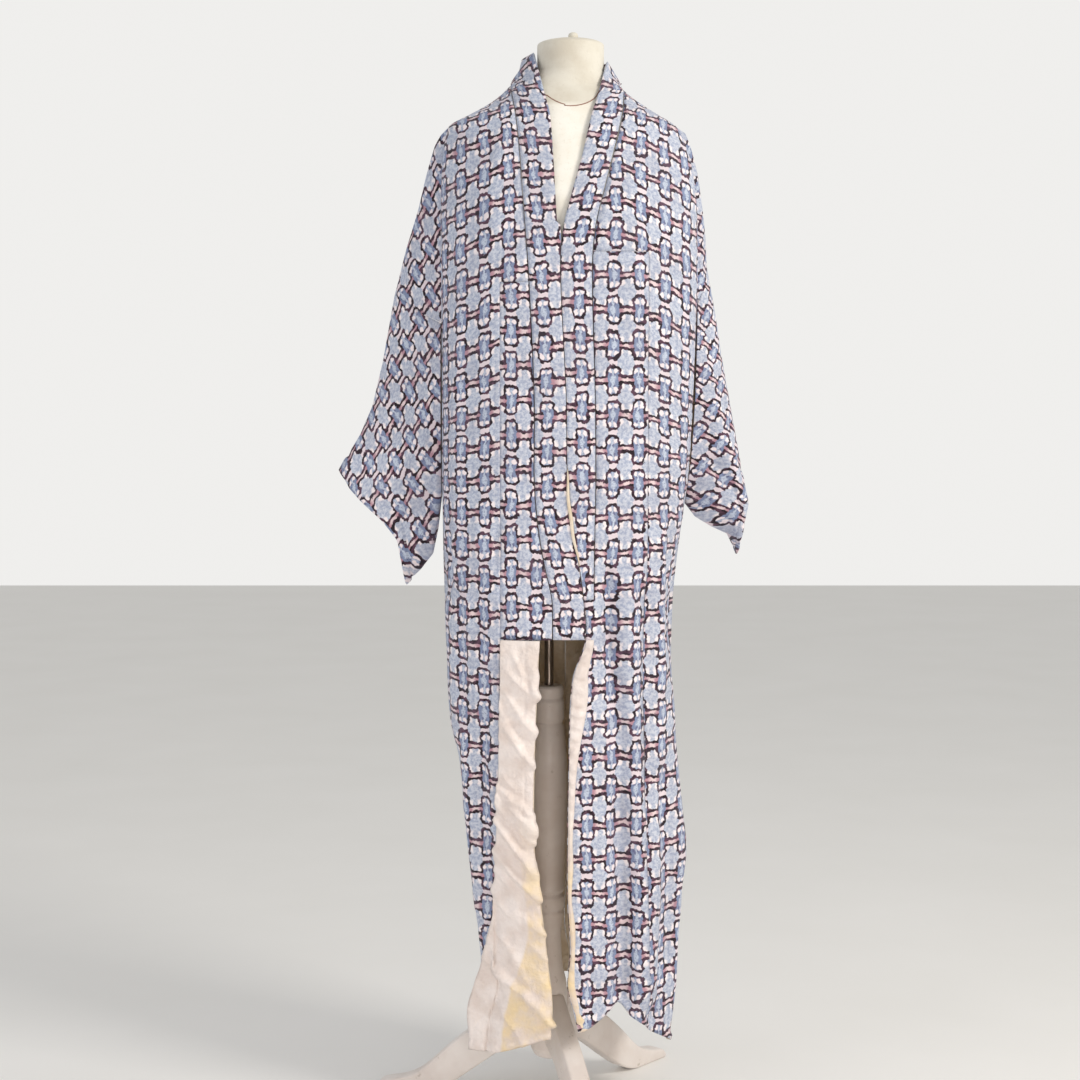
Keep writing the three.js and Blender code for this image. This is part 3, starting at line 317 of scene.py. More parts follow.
def on_body(x, z, face, out=0.0):
    """The surface at x and z on the front (face -1) or the back (face 1), and its normal."""
    s = section(z)
    mid, half, power = s[0], s[1], s[4]
    u = across(s, x)
    depth = s[2] if face < 0 else s[3]
    v = max(0.0, 1 - abs(u) ** power) ** (1 / power)
    px, y = mid + half * u, SIDE_Y + face * depth * v
    normal = Vector((
        math.copysign(abs(u) ** (power - 1), u) / half,
        face * v ** (power - 1) / depth,
        (level(px, y, z + 1) - level(px, y, z - 1)) / (2 * power),
    )).normalized()
    lean = math.degrees(math.asin(u))
    angle = lean if face < 0 else 180 - lean
    step = 0.5
    turn = math.radians(angle)
    run = math.hypot(half * math.cos(turn), depth * math.sin(turn)) * math.radians(2 * step)
    rise = (fold_depth(angle + step, z) - fold_depth(angle - step, z)) / max(run, 1)
    tangent = Vector((-normal.y, normal.x, 0)).normalized()
    point = Vector((px, y, z)) + normal * fold_depth(angle, z)
    normal = (normal - tangent * rise).normalized()
    return point + normal * out, normal


def draped(x, z, face, out=0.0):
    """The cloth at a row's height and x: on the body, with the row drawn down or up to the hem's line."""
    if z > HEM_BLEND:
        return on_body(x, z, face, out)
    u = across(section(z), x)
    lean = math.degrees(math.asin(u))
    hem = read(HEM, "angle", lean if face < 0 else 180 - lean, "z")
    low = HEM_BLEND - (HEM_BLEND - z) * (HEM_BLEND - hem) / (HEM_BLEND - LAST_ROW)
    below = section(low)
    return on_body(below[0] + below[1] * u, low, face, out)


def inner_x(name, z, face):
    """A panel's inner edge at a height."""
    if face < 0:
        return read(FRONT_EDGES, "z", z, "seamRight" if name == "right" else "seamLeft")
    band = {key: (v[:4] if name == "right" else v[3:][::-1]) for key, v in NECK_BAND.items()}
    return BACK_SEAM_X if z <= band["seamZ"][3] else read(band, "seamZ", z, "seamX")


def side_x(arm, z):
    return read(BODY, "z", z, "left" if arm["side"] < 0 else "right")


def root_path(arm):
    below = [z for z in ROWS if arm["underarm"] < z <= arm["root"]] + [arm["underarm"]]
    return [arm["fold"][-1], arm["corner"]] + [(side_x(arm, z), z) for z in below]


def seam_fractions(arm):
    """Fractions of the armhole seam at its corner and at the lowest row that reaches past the body."""
    path = root_path(arm)
    lengths = [math.dist(a, b) for a, b in zip(path, path[1:])]
    return lengths[0] / sum(lengths), (lengths[0] + lengths[1]) / sum(lengths)


def lens(fraction):
    f = clamp(fraction, 0, 1)
    return math.sqrt(4 * f * (1 - f))


def armhole_depth(arm, z):
    root = seam_fractions(arm)[1]
    if z <= arm["underarm"]:
        return SEAM / 2
    if z >= arm["root"]:
        t = root * (SHOULDER - z) / (SHOULDER - arm["root"])
    else:
        t = lerp(root, 1, (arm["root"] - z) / (arm["root"] - arm["underarm"]))
    return max(SEAM / 2, arm["halfDepth"] * lens(t))


@functools.lru_cache(maxsize=None)
def shoulder_height(name, x):
    arm = ARMS[name]
    low, high = SHOULDER, BODY["z"][-1]
    for _ in range(30):
        z = (low + high) / 2
        if arm["side"] * (side_x(arm, z) - x) > 0:
            low = z
        else:
            high = z
    return low


def spread(t):
    """Column spacing, closer towards the side, where the body turns."""
    start = math.sin(math.radians(8))
    return (math.sin(math.radians(lerp(8, 90, t))) - start) / (1 - start)


def root_x(arm, z, face):
    mid, half, front, back, power = section(z)
    reach = armhole_depth(arm, z) / (front if face < 0 else back)
    return mid + arm["side"] * half * (1 - reach**power) ** (1 / power)


# ---- Grids of points ----
PANEL_STEPS = [0, 1 / 3, 2 / 3, 1, 4 / 3, 5 / 3, 2] + [2 + 9 * k / 42 for k in range(1, 43)]
BACK_STEPS = [11 * k / 48 for k in range(49)]
ARM_STEPS = [4 * k / 18 for k in range(1, 19)]


def panel_row(name, face, row_z, steps):
    arm = ARMS[name]
    side = arm["side"]
    flat = ease((SHOULDER - row_z) / SHOULDER_BLEND)
    seam = OKUMI[name]["seam"] + side * SEAM / 2
    lead = LEAD_COLUMNS if face < 0 else 0
    first_z = row_z + (arm["neck"][1] - SHOULDER) * (1 - flat)
    root = root_x(arm, row_z, face)
    inner = inner_x(name, first_z, face) + side * SEAM / 2
    points = []
    for j in steps:
        past = spread((j - lead) / (PANEL_COLUMNS - lead)) if j >= lead else 0
        g = j / lead * LEAD_SHARE if j < lead else lerp(LEAD_SHARE if lead else 0, 1, past)
        shoulder_x = lerp(arm["neck"][0], arm["fold"][0][0], g)
        z = row_z + (shoulder_height(name, shoulder_x) - SHOULDER) * (1 - flat)
        if row_z == SHOULDER:
            points.append(Vector((shoulder_x, SIDE_Y + face * SEAM / 2, z)))
            continue
        straight = lerp(inner, seam, j / lead) if j < lead else lerp(seam if lead else inner, root, past)
        x = lerp(lerp(inner, root, g), straight, flat)
        points.append(draped(x, z, face)[0])
    points[-1].y = SIDE_Y + face * armhole_depth(arm, row_z)
    return points


def fold_x(arm, z):
    line = arm["fold"]
    k = next((i for i, p in enumerate(line) if p[1] <= z), len(line) - 1)
    k = max(k, 1)
    return lerp(line[k - 1][0], line[k][0], (line[k - 1][1] - z) / (line[k - 1][1] - line[k][1]))


def arm_row(name, face, row_z, root):
    """Past the body's side the upper rows run on down the arm to the sleeve's seam."""
    arm = ARMS[name]
    part = clamp((SHOULDER - row_z) / (SHOULDER - arm["root"]), 0, 1)
    shoulder_end = arm["fold"][-1]
    end = along([shoulder_end, arm["corner"]], part)
    corner, seam_root = seam_fractions(arm)
    points = []
    for step in ARM_STEPS:
        stop = np.interp(step, range(5), ARM_STOPS)
        t = lerp(stop, step / 4, min(1, 4 * part))
        fold, chord = along(arm["fold"], t), along([arm["fold"][0], shoulder_end], t)
        depth = max(SEAM / 2, arm["halfDepth"] * lens(part * lerp(seam_root, corner, t)))
        z = lerp(root.z, end[1], t) + (fold[1] - chord[1]) * (1 - part)
        x = lerp(root.x, end[0], t) + (fold[0] - chord[0]) * (1 - part)
        limit = arm["side"] * fold_x(arm, z) - depth * depth / ARM_ROUND
        if t < 1:
            x = arm["side"] * min(arm["side"] * x, limit)
        points.append(Vector((x, SIDE_Y + face * depth, z)))
    return points


def crease(grid, normals, rows, x_key, strength=1.0):
    """Lays troughs and ridges into a grid of points, along its normals."""
    x, z = x_key, grid[..., 2]
    out = np.zeros(x.shape)
    for x1, z1, x2, z2, width, depth in zip(*rows.values()):
        dx, dz = x2 - x1, z2 - z1
        length = math.hypot(dx, dz)
        run = ((x - x1) * dx + (z - z1) * dz) / length
        away = ((x - x1) * dz - (z - z1) * dx) / length + 3.0 * np.sin(run / 43.0 + x1)
        fade = smooth(run / 60 + 0.5) * smooth((length - run) / 60 + 0.5)
        out += depth * strength * np.exp(-((away / width) ** 2)) * fade
    return grid + normals * out[..., None]


def off_form(grid, shaped, normals):
    """The moves from grid to shaped, with the cloth kept on the form where it lies on it."""
    depth = ((shaped - grid) * normals).sum(axis=2)
    held = smooth((grid[..., 2] - 900) / 80)
    resting = np.where(depth < 0, -1.1 * np.tanh(-depth / 3.0), depth)
    return normals * lerp(depth, resting + 0.3, held)[..., None]


def ripple(grid, normals, seed, size=0.9):
    """A low uneven swell, so that no stretch of cloth is quite flat."""
    rng = np.random.default_rng(seed)
    out = np.zeros(grid.shape[:2])
    for _ in range(9):
        wave_x, wave_z, phase = rng.uniform(28, 75), rng.uniform(110, 330), rng.uniform(0, 2 * math.pi)
        out += np.sin(grid[..., 0] / wave_x * rng.choice([-1, 1]) + grid[..., 2] / wave_z + phase)
    return grid + normals * (out * size / 3)[..., None]


def grid_normals(grid, outward=FRONTWARD):
    """A normal at each point of a grid, turned to the side that outward points to."""
    down = np.gradient(grid, axis=0)
    over = np.gradient(grid, axis=1)
    normals = np.cross(over, down)
    length = np.linalg.norm(normals, axis=2, keepdims=True)
    normals /= np.maximum(length, 1e-9)
    flip = np.sign((normals * outward).sum(axis=2).sum())
    return normals * (flip or 1)


def arc_lengths(grid, axis):
    steps = np.linalg.norm(np.diff(grid, axis=axis), axis=2)
    pad = [(0, 0), (0, 0)]
    pad[axis] = (1, 0)
    return np.cumsum(np.pad(steps, pad), axis=axis)


def add_object(name, data):
    thing = bpy.data.objects.new(name, data)
    bpy.context.scene.collection.objects.link(thing)
    return thing


def make_object(name, vertices, faces, materials):
    mesh = bpy.data.meshes.new(name)
    mesh.from_pydata([tuple(v) for v in vertices], [], faces)
    for material in materials:
        mesh.materials.append(material)
    for polygon in mesh.polygons:
        polygon.use_smooth = True
    return add_object(name, mesh)


def to_frame(grid):
    return grid * MM + SHIFT


def cloth_object(name, grid, outward, uv, materials, thickness, keep=None, ring=False, arm=None):
    """A shell of cloth through a grid of points: its outer side is the grid, its thickness goes inwards.

    arm is a first column and the cloth's own measure from there on.
    """
    high, wide = grid.shape[:2]
    cells = wide if ring else wide - 1
    points = to_frame(grid)
    faces, corners = [], []
    for i in range(high - 1):
        for j in range(cells):
            if keep is not None and not keep(i, j):
                continue
            k = (j + 1) % wide
            faces.append([i * wide + j, (i + 1) * wide + j, (i + 1) * wide + k, i * wide + k])
            # A ring's last cell runs on past the last column of the cloth's own measure.
            corners.append([(i, j), (i + 1, j), (i + 1, j + 1), (i, j + 1)])
    a, b, c = (points.reshape(-1, 3)[[f[n] for f in faces]] for n in (0, 1, 2))
    facing = (np.cross(b - a, c - a) * outward.reshape(-1, 3)[[f[0] for f in faces]]).sum()
    if facing < 0:
        faces = [f[::-1] for f in faces]
        corners = [c[::-1] for c in corners]
    used = sorted({v for f in faces for v in f})
    place = {v: n for n, v in enumerate(used)}
    flat = points.reshape(-1, 3)
    thing = make_object(name, flat[used], [[place[v] for v in f] for f in faces], materials)
    layer = thing.data.uv_layers.new(name="Cloth")
    from_column, arm_measure = arm or (wide + 1, uv)
    coords = []
    for face in corners:
        measure = arm_measure if min(j for _, j in face) >= from_column else uv
        coords += [measure[i][j] for i, j in face]
    layer.data.foreach_set("uv", (np.array(coords, dtype=np.float64) * MM).ravel())
    solid = thing.modifiers.new("Thickness", "SOLIDIFY")
    solid.thickness = thickness * MM
    solid.offset = -1
    solid.use_even_offset = False
    solid.material_offset = len(materials) - 1
    solid.material_offset_rim = 0
    apply_modifiers(thing)
    return thing


def apply_modifiers(thing):
    bpy.context.view_layer.update()
    graph = bpy.context.evaluated_depsgraph_get()
    mesh = bpy.data.meshes.new_from_object(thing.evaluated_get(graph))
    thing.modifiers.clear()
    thing.data = mesh


def place(thing, slot, *nodes):
    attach(thing, "root")
    if nodes:
        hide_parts(*nodes)
    return thing


# ---- Materials ----
def linear(*screen):
    """A colour given as it looks on a screen, from 0 to 255."""
    shares = [value / 255 for value in screen]
    return (*(c / 12.92 if c <= 0.04045 else ((c + 0.055) / 1.055) ** 2.4 for c in shares), 1.0)


class Nodes:
    """Makes a material's nodes. Values may be numbers or sockets."""

    def __init__(self, name):
        self.material = bpy.data.materials.new(name)
        self.material.use_nodes = True
        self.tree = self.material.node_tree
        self.shader = self.tree.nodes["Principled BSDF"]

    def set(self, socket, value):
        if isinstance(value, bpy.types.NodeSocket):
            self.tree.links.new(value, socket)
        else:
            socket.default_value = value

    def math(self, operation, *values):
        node = self.tree.nodes.new("ShaderNodeMath")
        node.operation = operation
        for socket, value in zip(node.inputs, values):
            self.set(socket, value)
        return node.outputs[0]

    add = functools.partialmethod(math, "ADD")
    subtract = functools.partialmethod(math, "SUBTRACT")
    times = functools.partialmethod(math, "MULTIPLY")
    divide = functools.partialmethod(math, "DIVIDE")
    absolute = functools.partialmethod(math, "ABSOLUTE")
    larger = functools.partialmethod(math, "MAXIMUM")
    smaller = functools.partialmethod(math, "MINIMUM")
    sine = functools.partialmethod(math, "SINE")
    wrap = functools.partialmethod(math, "WRAP")

    def length(self, a, b):
        return self.math("SQRT", self.add(self.times(a, a), self.times(b, b)))

    def mix(self, factor, a, b):
        node = self.tree.nodes.new("ShaderNodeMix")
        node.data_type = "RGBA"
        self.set(node.inputs[0], factor)
        self.set(node.inputs[6], a)
        self.set(node.inputs[7], b)
        return node.outputs[2]

    def ramp(self, value, low, high, to_low=0.0, to_high=1.0):
        """A value taken from low..high to to_low..to_high, and held outside."""
        node = self.tree.nodes.new("ShaderNodeMapRange")
        node.interpolation_type = "SMOOTHSTEP"
        for key, number in (("Value", value), ("From Min", low), ("From Max", high)):
            self.set(node.inputs[key], number)
        node.inputs["To Min"].default_value = to_low
        node.inputs["To Max"].default_value = to_high
        return node.outputs[0]

    def noise(self, vector, scale, detail=2.0, roughness=0.5):
        node = self.tree.nodes.new("ShaderNodeTexNoise")
        node.noise_dimensions = "3D"
        self.set(node.inputs["Vector"], vector)
        node.inputs["Scale"].default_value = scale
        node.inputs["Detail"].default_value = detail
        node.inputs["Roughness"].default_value = roughness
        return node.outputs["Fac"]

    def bump(self, height, strength, distance, normal=None):
        node = self.tree.nodes.new("ShaderNodeBump")
        node.inputs["Strength"].default_value = strength
        node.inputs["Distance"].default_value = distance
        self.set(node.inputs["Height"], height)
        if normal is not None:
            self.set(node.inputs["Normal"], normal)
        return node.outputs[0]

    def cloth_place(self):
        """The place on the cloth in millimetres across and down it."""
        uv = self.tree.nodes.new("ShaderNodeUVMap")
        uv.uv_map = "Cloth"
        scale = self.tree.nodes.new("ShaderNodeVectorMath")
        scale.operation = "SCALE"
        scale.inputs["Scale"].default_value = 1000.0
        self.tree.links.new(uv.outputs[0], scale.inputs[0])
        return scale.outputs[0]

    def object_place(self):
        return self.tree.nodes.new("ShaderNodeTexCoord").outputs["Object"]

    def split(self, vector):
        node = self.tree.nodes.new("ShaderNodeSeparateXYZ")
        self.tree.links.new(vector, node.inputs[0])
        return node.outputs[0], node.outputs[1], node.outputs[2]

    def finish(self, colour, roughness, normal=None, **shader):
        self.set(self.shader.inputs["Base Color"], colour)
        self.set(self.shader.inputs["Roughness"], roughness)
        if normal is not None:
            self.set(self.shader.inputs["Normal"], normal)
        for key, value in shader.items():
            self.shader.inputs[key.replace("_", " ")].default_value = value
        return self.material


# The print's repeat and its two crosses, each a rounded bar with a thin link to its neighbours.
CELL_WIDE, CELL_HIGH = 39.3, 53.5
PALE_CROSS = {"half": 8.5, "tall": 19.8, "round": 3.4, "waist": 12.4, "link": 3.2}
BLUE_CROSS = {"half": 7.8, "tall": 19.2, "round": 5.5, "waist": 0.0, "link": 2.5}
EDGE = 0.5  # half the width of the print's soft edges


def rounded_bar(n, x, y, cross):
    """Distance outside a rounded bar."""
    ax = n.subtract(n.absolute(x), cross["half"] - cross["round"])
    ay = n.subtract(n.absolute(y), cross["tall"] - cross["round"])
    px, py = n.larger(ax, 0.0), n.larger(ay, 0.0)
    length = n.length(px, py)
    inside = n.smaller(n.larger(ax, ay), 0.0)
    return n.subtract(n.add(length, inside), cross["round"])


def cross_masks(n, x, y, cross):
    """Where a cross's bar is and where its link is."""
    bar = rounded_bar(n, x, y, cross)
    if cross["waist"]:
        ex = n.divide(x, cross["waist"])
        ey = n.divide(y, cross["waist"] * 0.9)
        radius = n.length(ex, ey)
        waist = n.times(n.subtract(radius, 1.0), cross["waist"])
        bar = n.smaller(bar, waist)
    link = n.subtract(n.absolute(y), cross["link"])
    return n.ramp(bar, EDGE, -EDGE), n.ramp(link, EDGE, -EDGE)


def print_material():
    n = Nodes("Print")
    place_on = n.cloth_place()
    wander = n.noise(place_on, 0.035, 2.0)
    u, v, _ = n.split(place_on)
    u = n.add(u, n.ramp(wander, 0.2, 0.8, -2.4, 2.4))
    v = n.add(v, n.ramp(n.noise(place_on, 0.03, 2.0), 0.2, 0.8, -3.2, 3.2))
    u = n.add(u, n.ramp(n.noise(place_on, 0.17, 1.0), 0.25, 0.75, -1.1, 1.1))
    v = n.add(v, n.ramp(n.noise(place_on, 0.19, 1.0), 0.25, 0.75, -1.2, 1.2))
    half_w, half_h = CELL_WIDE / 2, CELL_HIGH / 2
    ax, ay = n.wrap(u, half_w, -half_w), n.wrap(v, half_h, -half_h)
    bx = n.wrap(n.add(u, half_w), half_w, -half_w)
    by = n.wrap(n.add(v, half_h), half_h, -half_h)
    pale_bar, pale_link = cross_masks(n, ax, ay, PALE_CROSS)
    blue_bar, blue_link = cross_masks(n, bx, by, BLUE_CROSS)

    mottle = n.noise(place_on, 0.2, 3.0, 0.65)
    streak = n.noise(place_on, 0.42, 2.0, 0.6)
    broken = n.noise(place_on, 0.09, 2.0, 0.6)
    ground = n.mix(n.ramp(broken, 0.42, 0.64), linear(30, 15, 24), linear(92, 62, 80))
    pale = n.mix(n.ramp(mottle, 0.38, 0.64), linear(210, 215, 227), linear(166, 176, 200))
    tips = n.ramp(n.absolute(ay), 8.0, 14.0)
    corner = n.ramp(n.absolute(ax), 2.5, 5.5)
    pale = n.mix(n.times(tips, corner), pale, linear(252, 242, 243))
    bx_size, by_size = n.absolute(bx), n.absolute(by)
    flame = n.add(bx_size, n.times(by_size, 0.18))
    blue = n.mix(n.ramp(flame, 2.4, 5.4), linear(200, 211, 228), linear(136, 150, 182))
    blade = n.absolute(n.subtract(by_size, 8.5))
    blade = n.add(blade, n.times(n.absolute(n.subtract(bx_size, 2.6)), 2.2))
    blue = n.mix(n.ramp(blade, 5.0, 2.0, 0.0, 0.75), blue, linear(86, 88, 130))
    blue = n.mix(n.ramp(streak, 0.5, 0.66, 0.0, 0.6), blue, linear(108, 112, 148))
    dot_x = n.subtract(bx_size, 4.6)
    dot_y = n.times(n.subtract(by_size, 14.6), 0.8)
    dot = n.length(dot_x, dot_y)
    blue = n.mix(n.ramp(dot, 4.2, 2.2), blue, linear(252, 240, 242))
    colour = n.mix(pale_link, ground, linear(236, 222, 228))
    pink = n.mix(n.ramp(n.absolute(ax), 2.0, 9.0), linear(236, 214, 216), linear(190, 146, 158))
    colour = n.mix(blue_link, colour, pink)
    colour = n.mix(pale_bar, colour, pale)
    colour = n.mix(blue_bar, colour, blue)
    colour = n.mix(n.ramp(n.noise(place_on, 0.02, 2.0), 0.35, 0.7, 0.0, 0.16), colour, linear(120, 110, 128))

    crepe = n.noise(place_on, 0.55, 3.0, 0.65)
    warp = n.sine(n.times(u, 2 * math.pi / 0.9))
    weft = n.sine(n.times(v, 2 * math.pi / 0.9))
    weave = n.times(n.add(warp, weft), 0.1)
    normal = n.bump(n.add(crepe, weave), 0.35, 0.0012)
    normal = n.bump(n.noise(place_on, 0.07, 3.0, 0.6), 0.45, 0.004, normal)
    roughness = n.ramp(mottle, 0.3, 0.7, 0.62, 0.78)
    return n.finish(
        colour, roughness, normal, Specular_IOR_Level=0.3, Sheen_Weight=0.25, Sheen_Roughness=0.45,
        Sheen_Tint=linear(214, 218, 232),
    )


def lining_material(name, colour_a, colour_b, gloss, warm=None):
    """Smooth silk; warm is the colour of a part near the hem, inside a seam that slants to the free edge."""
    n = Nodes(name)
    place_on = n.cloth_place()
    u, v, _ = n.split(place_on)
    tone = n.noise(place_on, 0.02, 3.0, 0.6)
    colour = n.mix(n.ramp(tone, 0.35, 0.68), colour_a, colour_b)
    if warm:
        seam = n.subtract(u, n.ramp(v, 880, 1070, 22, 84))
        inside = n.times(n.ramp(seam, 3, -3), n.ramp(v, 690, 880))
        colour = n.mix(inside, colour, n.mix(n.ramp(tone, 0.3, 0.7), warm, colour_b))
    slub = n.sine(n.times(v, 2 * math.pi / 0.7))
    fine_noise = n.noise(place_on, 0.8, 2.0, 0.6)
    normal = n.bump(n.add(n.times(slub, 0.15), fine_noise), 0.2, 0.0006)
    normal = n.bump(n.noise(place_on, 0.045, 3.0, 0.6), 0.7, 0.009, normal)
    return n.finish(
        colour, n.ramp(tone, 0.3, 0.7, gloss, gloss + 0.14), normal, Specular_IOR_Level=0.5,
        Sheen_Weight=0.2, Sheen_Roughness=0.4,
    )


def calico_material():
    n = Nodes("Calico")
    place_on = n.object_place()
    _, _, z = n.split(place_on)
    tone = n.noise(place_on, 14.0, 4.0, 0.6)
    chest = n.mix(n.ramp(tone, 0.35, 0.7), linear(250, 247, 238), linear(238, 232, 217))
    neck = n.mix(n.ramp(tone, 0.35, 0.7), linear(230, 225, 212), linear(214, 206, 190))
    colour = n.mix(n.ramp(z, 1.612, 1.622), chest, neck)
    slubs = n.noise(place_on, 220.0, 3.0, 0.7)
    colour = n.mix(n.ramp(slubs, 0.55, 0.75, 0.0, 0.25), colour, linear(196, 186, 166))
    threads = n.tree.nodes.new("ShaderNodeTexVoronoi")
    n.set(threads.inputs["Vector"], place_on)
    threads.inputs["Scale"].default_value = 900.0
    normal = n.bump(n.add(slubs, threads.outputs[0]), 0.3, 0.0005)
    return n.finish(colour, 0.9, normal, Specular_IOR_Level=0.2, Sheen_Weight=0.15)


def paint_material():
    n = Nodes("Paint")
    place_on = n.object_place()
    tone = n.noise(place_on, 9.0, 4.0, 0.6)
    colour = n.mix(n.ramp(tone, 0.35, 0.7), linear(236, 228, 222), linear(220, 208, 200))
    wear = n.noise(place_on, 60.0, 5.0, 0.65)
    colour = n.mix(n.ramp(wear, 0.62, 0.72, 0.0, 0.5), colour, linear(168, 154, 136))
    grain = n.tree.nodes.new("ShaderNodeTexWave")
    n.set(grain.inputs["Vector"], place_on)
    grain.inputs["Scale"].default_value = 30.0
    grain.inputs["Distortion"].default_value = 6.0
    brush = n.add(n.times(grain.outputs[1], 0.3), wear)
    return n.finish(
        colour, n.ramp(wear, 0.3, 0.7, 0.38, 0.56), n.bump(brush, 0.15, 0.001), Coat_Weight=0.15,
        Coat_Roughness=0.3,
    )


def metal_material():
    n = Nodes("Steel")
    place_on = n.object_place()
    x, y, z = n.split(place_on)
    stretched = n.tree.nodes.new("ShaderNodeCombineXYZ")
    for socket, value in zip(stretched.inputs, (x, y, n.times(z, 0.04))):
        n.set(socket, value)
    brushed = n.noise(stretched.outputs[0], 900.0, 2.0, 0.6)
    colour = n.mix(n.ramp(brushed, 0.3, 0.7), linear(150, 141, 132), linear(112, 102, 94))
    roughness = n.ramp(brushed, 0.3, 0.7, 0.28, 0.44)
    return n.finish(colour, roughness, n.bump(brushed, 0.1, 0.0003), Metallic=0.85)


def thread_material():
    n = Nodes("Thread")
    twist = n.noise(n.object_place(), 500.0, 2.0)
    colour = n.mix(n.ramp(twist, 0.3, 0.7), linear(170, 128, 112), linear(132, 96, 84))
    return n.finish(colour, 0.85, n.bump(twist, 0.3, 0.0004))


PRINT = print_material()
CREAM = lining_material("Lining_cream", linear(232, 218, 198), linear(218, 200, 172), 0.5)
SATIN = lining_material(
    "Lining_satin", linear(240, 230, 225), linear(226, 212, 204), 0.36, linear(240, 216, 172),
)
CALICO, PAINT, STEEL, THREAD = calico_material(), paint_material(), metal_material(), thread_material()


# ---- The cloth pieces ----
REFERENCE = 1225.0  # the height from which the print is counted down and up
# The print on the arms: the way from one blue bar to the next in its row and to the next row, and the
# place of one bar.
ARM_PRINT = {
    "right": {"row": (-22.4, -38.4), "bar": (28.6, -36.1), "at": (-259.8, 1131.3)},
    "left": {"row": (33.2, -20.0), "bar": (-22.4, -36.0), "at": (262.3, 1141.8)},
}
PRINT_PHASE = {
    "front_right": (0.0, 0.0), "front_left": (0.0, 0.0), "back_right": (8.0, 20.0),
    "back_left": (-6.0, 4.0),
}


def panel_uv(grid, face, side, phase, anchor):
    """Cloth places: across from a column that hangs straight, and down from the reference row."""
    over = arc_lengths(grid * np.array([1, 0.55, 1]), 1)
    u = grid[:, anchor, 0][:, None] + side * (over - over[:, anchor][:, None])
    down = arc_lengths(grid, 0)
    row = int(np.abs(grid[:, anchor, 2] - REFERENCE).argmin())
    v = down - down[row][None, :] + (REFERENCE - grid[row, :, 2])[None, :]
    x, z = grid[..., 0], grid[..., 2]
    if side < 0:
        drop = np.clip(-60 - x, 0, 130) * 0.3 * smooth((z - 900) / 350)
    else:
        drop = np.clip(x - 110, 0, 140) * 0.4 * smooth((z - 800) / 450)
    v = v - drop
    return np.stack([u * (1 if face < 0 else -1) + phase[0], v + phase[1]], axis=2)


def arm_uv(grid, name):
    """Cloth places on the arm, where the threads run slanting along it."""
    of = ARM_PRINT[name]
    (row_x, row_z), (bar_x, bar_z) = of["row"], of["bar"]
    side = ARMS[name]["side"]
    round_edge = side * 0.8 * (35 - np.minimum(35, np.abs(grid[..., 1] - SIDE_Y)))
    x, z = grid[..., 0] + round_edge - of["at"][0], grid[..., 2] - of["at"][1]
    area = row_x * bar_z - bar_x * row_z
    u = CELL_WIDE * ((x * bar_z - z * bar_x) / area + 0.5)
    v = CELL_HIGH * ((z * row_x - x * row_z) / area + 0.5)
    return np.stack([u, v], axis=2)


def panel(name, face):
    piece = f"{'front' if face < 0 else 'back'}_{name}"
    arm = ARMS[name]
    steps = PANEL_STEPS if face < 0 else BACK_STEPS
    rows = fine(ROWS, ROW_STEP)
    points = []
    for row_z in rows:
        body = panel_row(name, face, row_z, steps)
        points.append(body + arm_row(name, face, max(row_z, arm["root"]), body[-1]))
    grid = np.array(points)
    outward = np.zeros(grid.shape)
    outward[..., 0] = np.clip((grid[..., 0] - 30) / 100, -1, 1)
    outward[..., 1] = face
    outward[..., 2] = 0.3
    normals = grid_normals(grid, outward)
    normals[0] = (0.3 * arm["side"], 0, 0.95)
    last = len(steps) - 1
    below = np.array(rows) < arm["root"]
    normals[:, last] = normals[:, last] * 0.5 + np.array([arm["side"] * 0.5, 0, 0])
    edge = np.ones(grid.shape[:2])
    edge[:, last] = 0.0
    edge[0] = 0.0
    fade = smooth((SHOULDER - np.array(rows)) / 25)[:, None] * edge
    grid = grid + hung(grid, normals, face) * fade[..., None]
    over = arc_lengths(grid, 1)
    grid = stitched(grid, normals, np.minimum(over, np.abs(over - over[:, last][:, None])))
    grid = hem_roll(grid, normals)
    if face < 0:
        jog = rows.index(OKUMI[name]["top"])
        lead = steps.index(2)
        keep = lambda i, j: (j < last and (i < jog or j >= lead)) or (j >= last and not below[i + 1])
    else:
        keep = lambda i, j: j < last or not below[i + 1]
    uv = panel_uv(grid, face, arm["side"], PRINT_PHASE[piece], last // 2)
    sleeve_cloth = (last, arm_uv(grid, name))
    thing = cloth_object(f"{piece}_silk", grid, normals, uv, [PRINT, CREAM], CLOTH, keep, arm=sleeve_cloth)
    place(thing, "print_cloth", piece)


def hanging_uv(grid, start=0.0):
    """Cloth places: across from the first column, and straight down from the reference height."""
    return np.stack([start + arc_lengths(grid, 1), REFERENCE - grid[..., 2]], axis=2)


def hung(grid, normals, face):
    """How the creases, crumples and swell of hanging cloth move a grid of points."""
    creases, crumpled, seed = HANGING[face]
    shaped = crease(grid, normals, creases, grid[..., 0], CREASE_STRENGTH)
    shaped = crease(shaped, normals, crumpled, grid[..., 0])
    return off_form(grid, ripple(shaped, normals, seed), normals)


def stitched(grid, normals, near):
    """The cloth dips a little where it is sewn; near is the distance from a seam."""
    return grid - normals * (STITCH_DEPTH * np.exp(-((near / STITCH_WIDTH) ** 2)))[..., None]


def hem_roll(grid, normals):
    """The padded roll along the hem, with small puckers above it."""
    down = arc_lengths(grid, 0)
    up = down[-1][None, :] - down
    roll = 2.6 * np.exp(-(((up - 7) / 5.5) ** 2)) - 1.6 * np.exp(-(((up - 17) / 4.0) ** 2))
    x = grid[..., 0]
    pucker = 1.3 * np.sin(x / 6.5 + 1.4 * np.sin(x / 17)) * np.exp(-(((up - 26) / 16) ** 2))
    return grid + normals * (roll + pucker)[..., None]


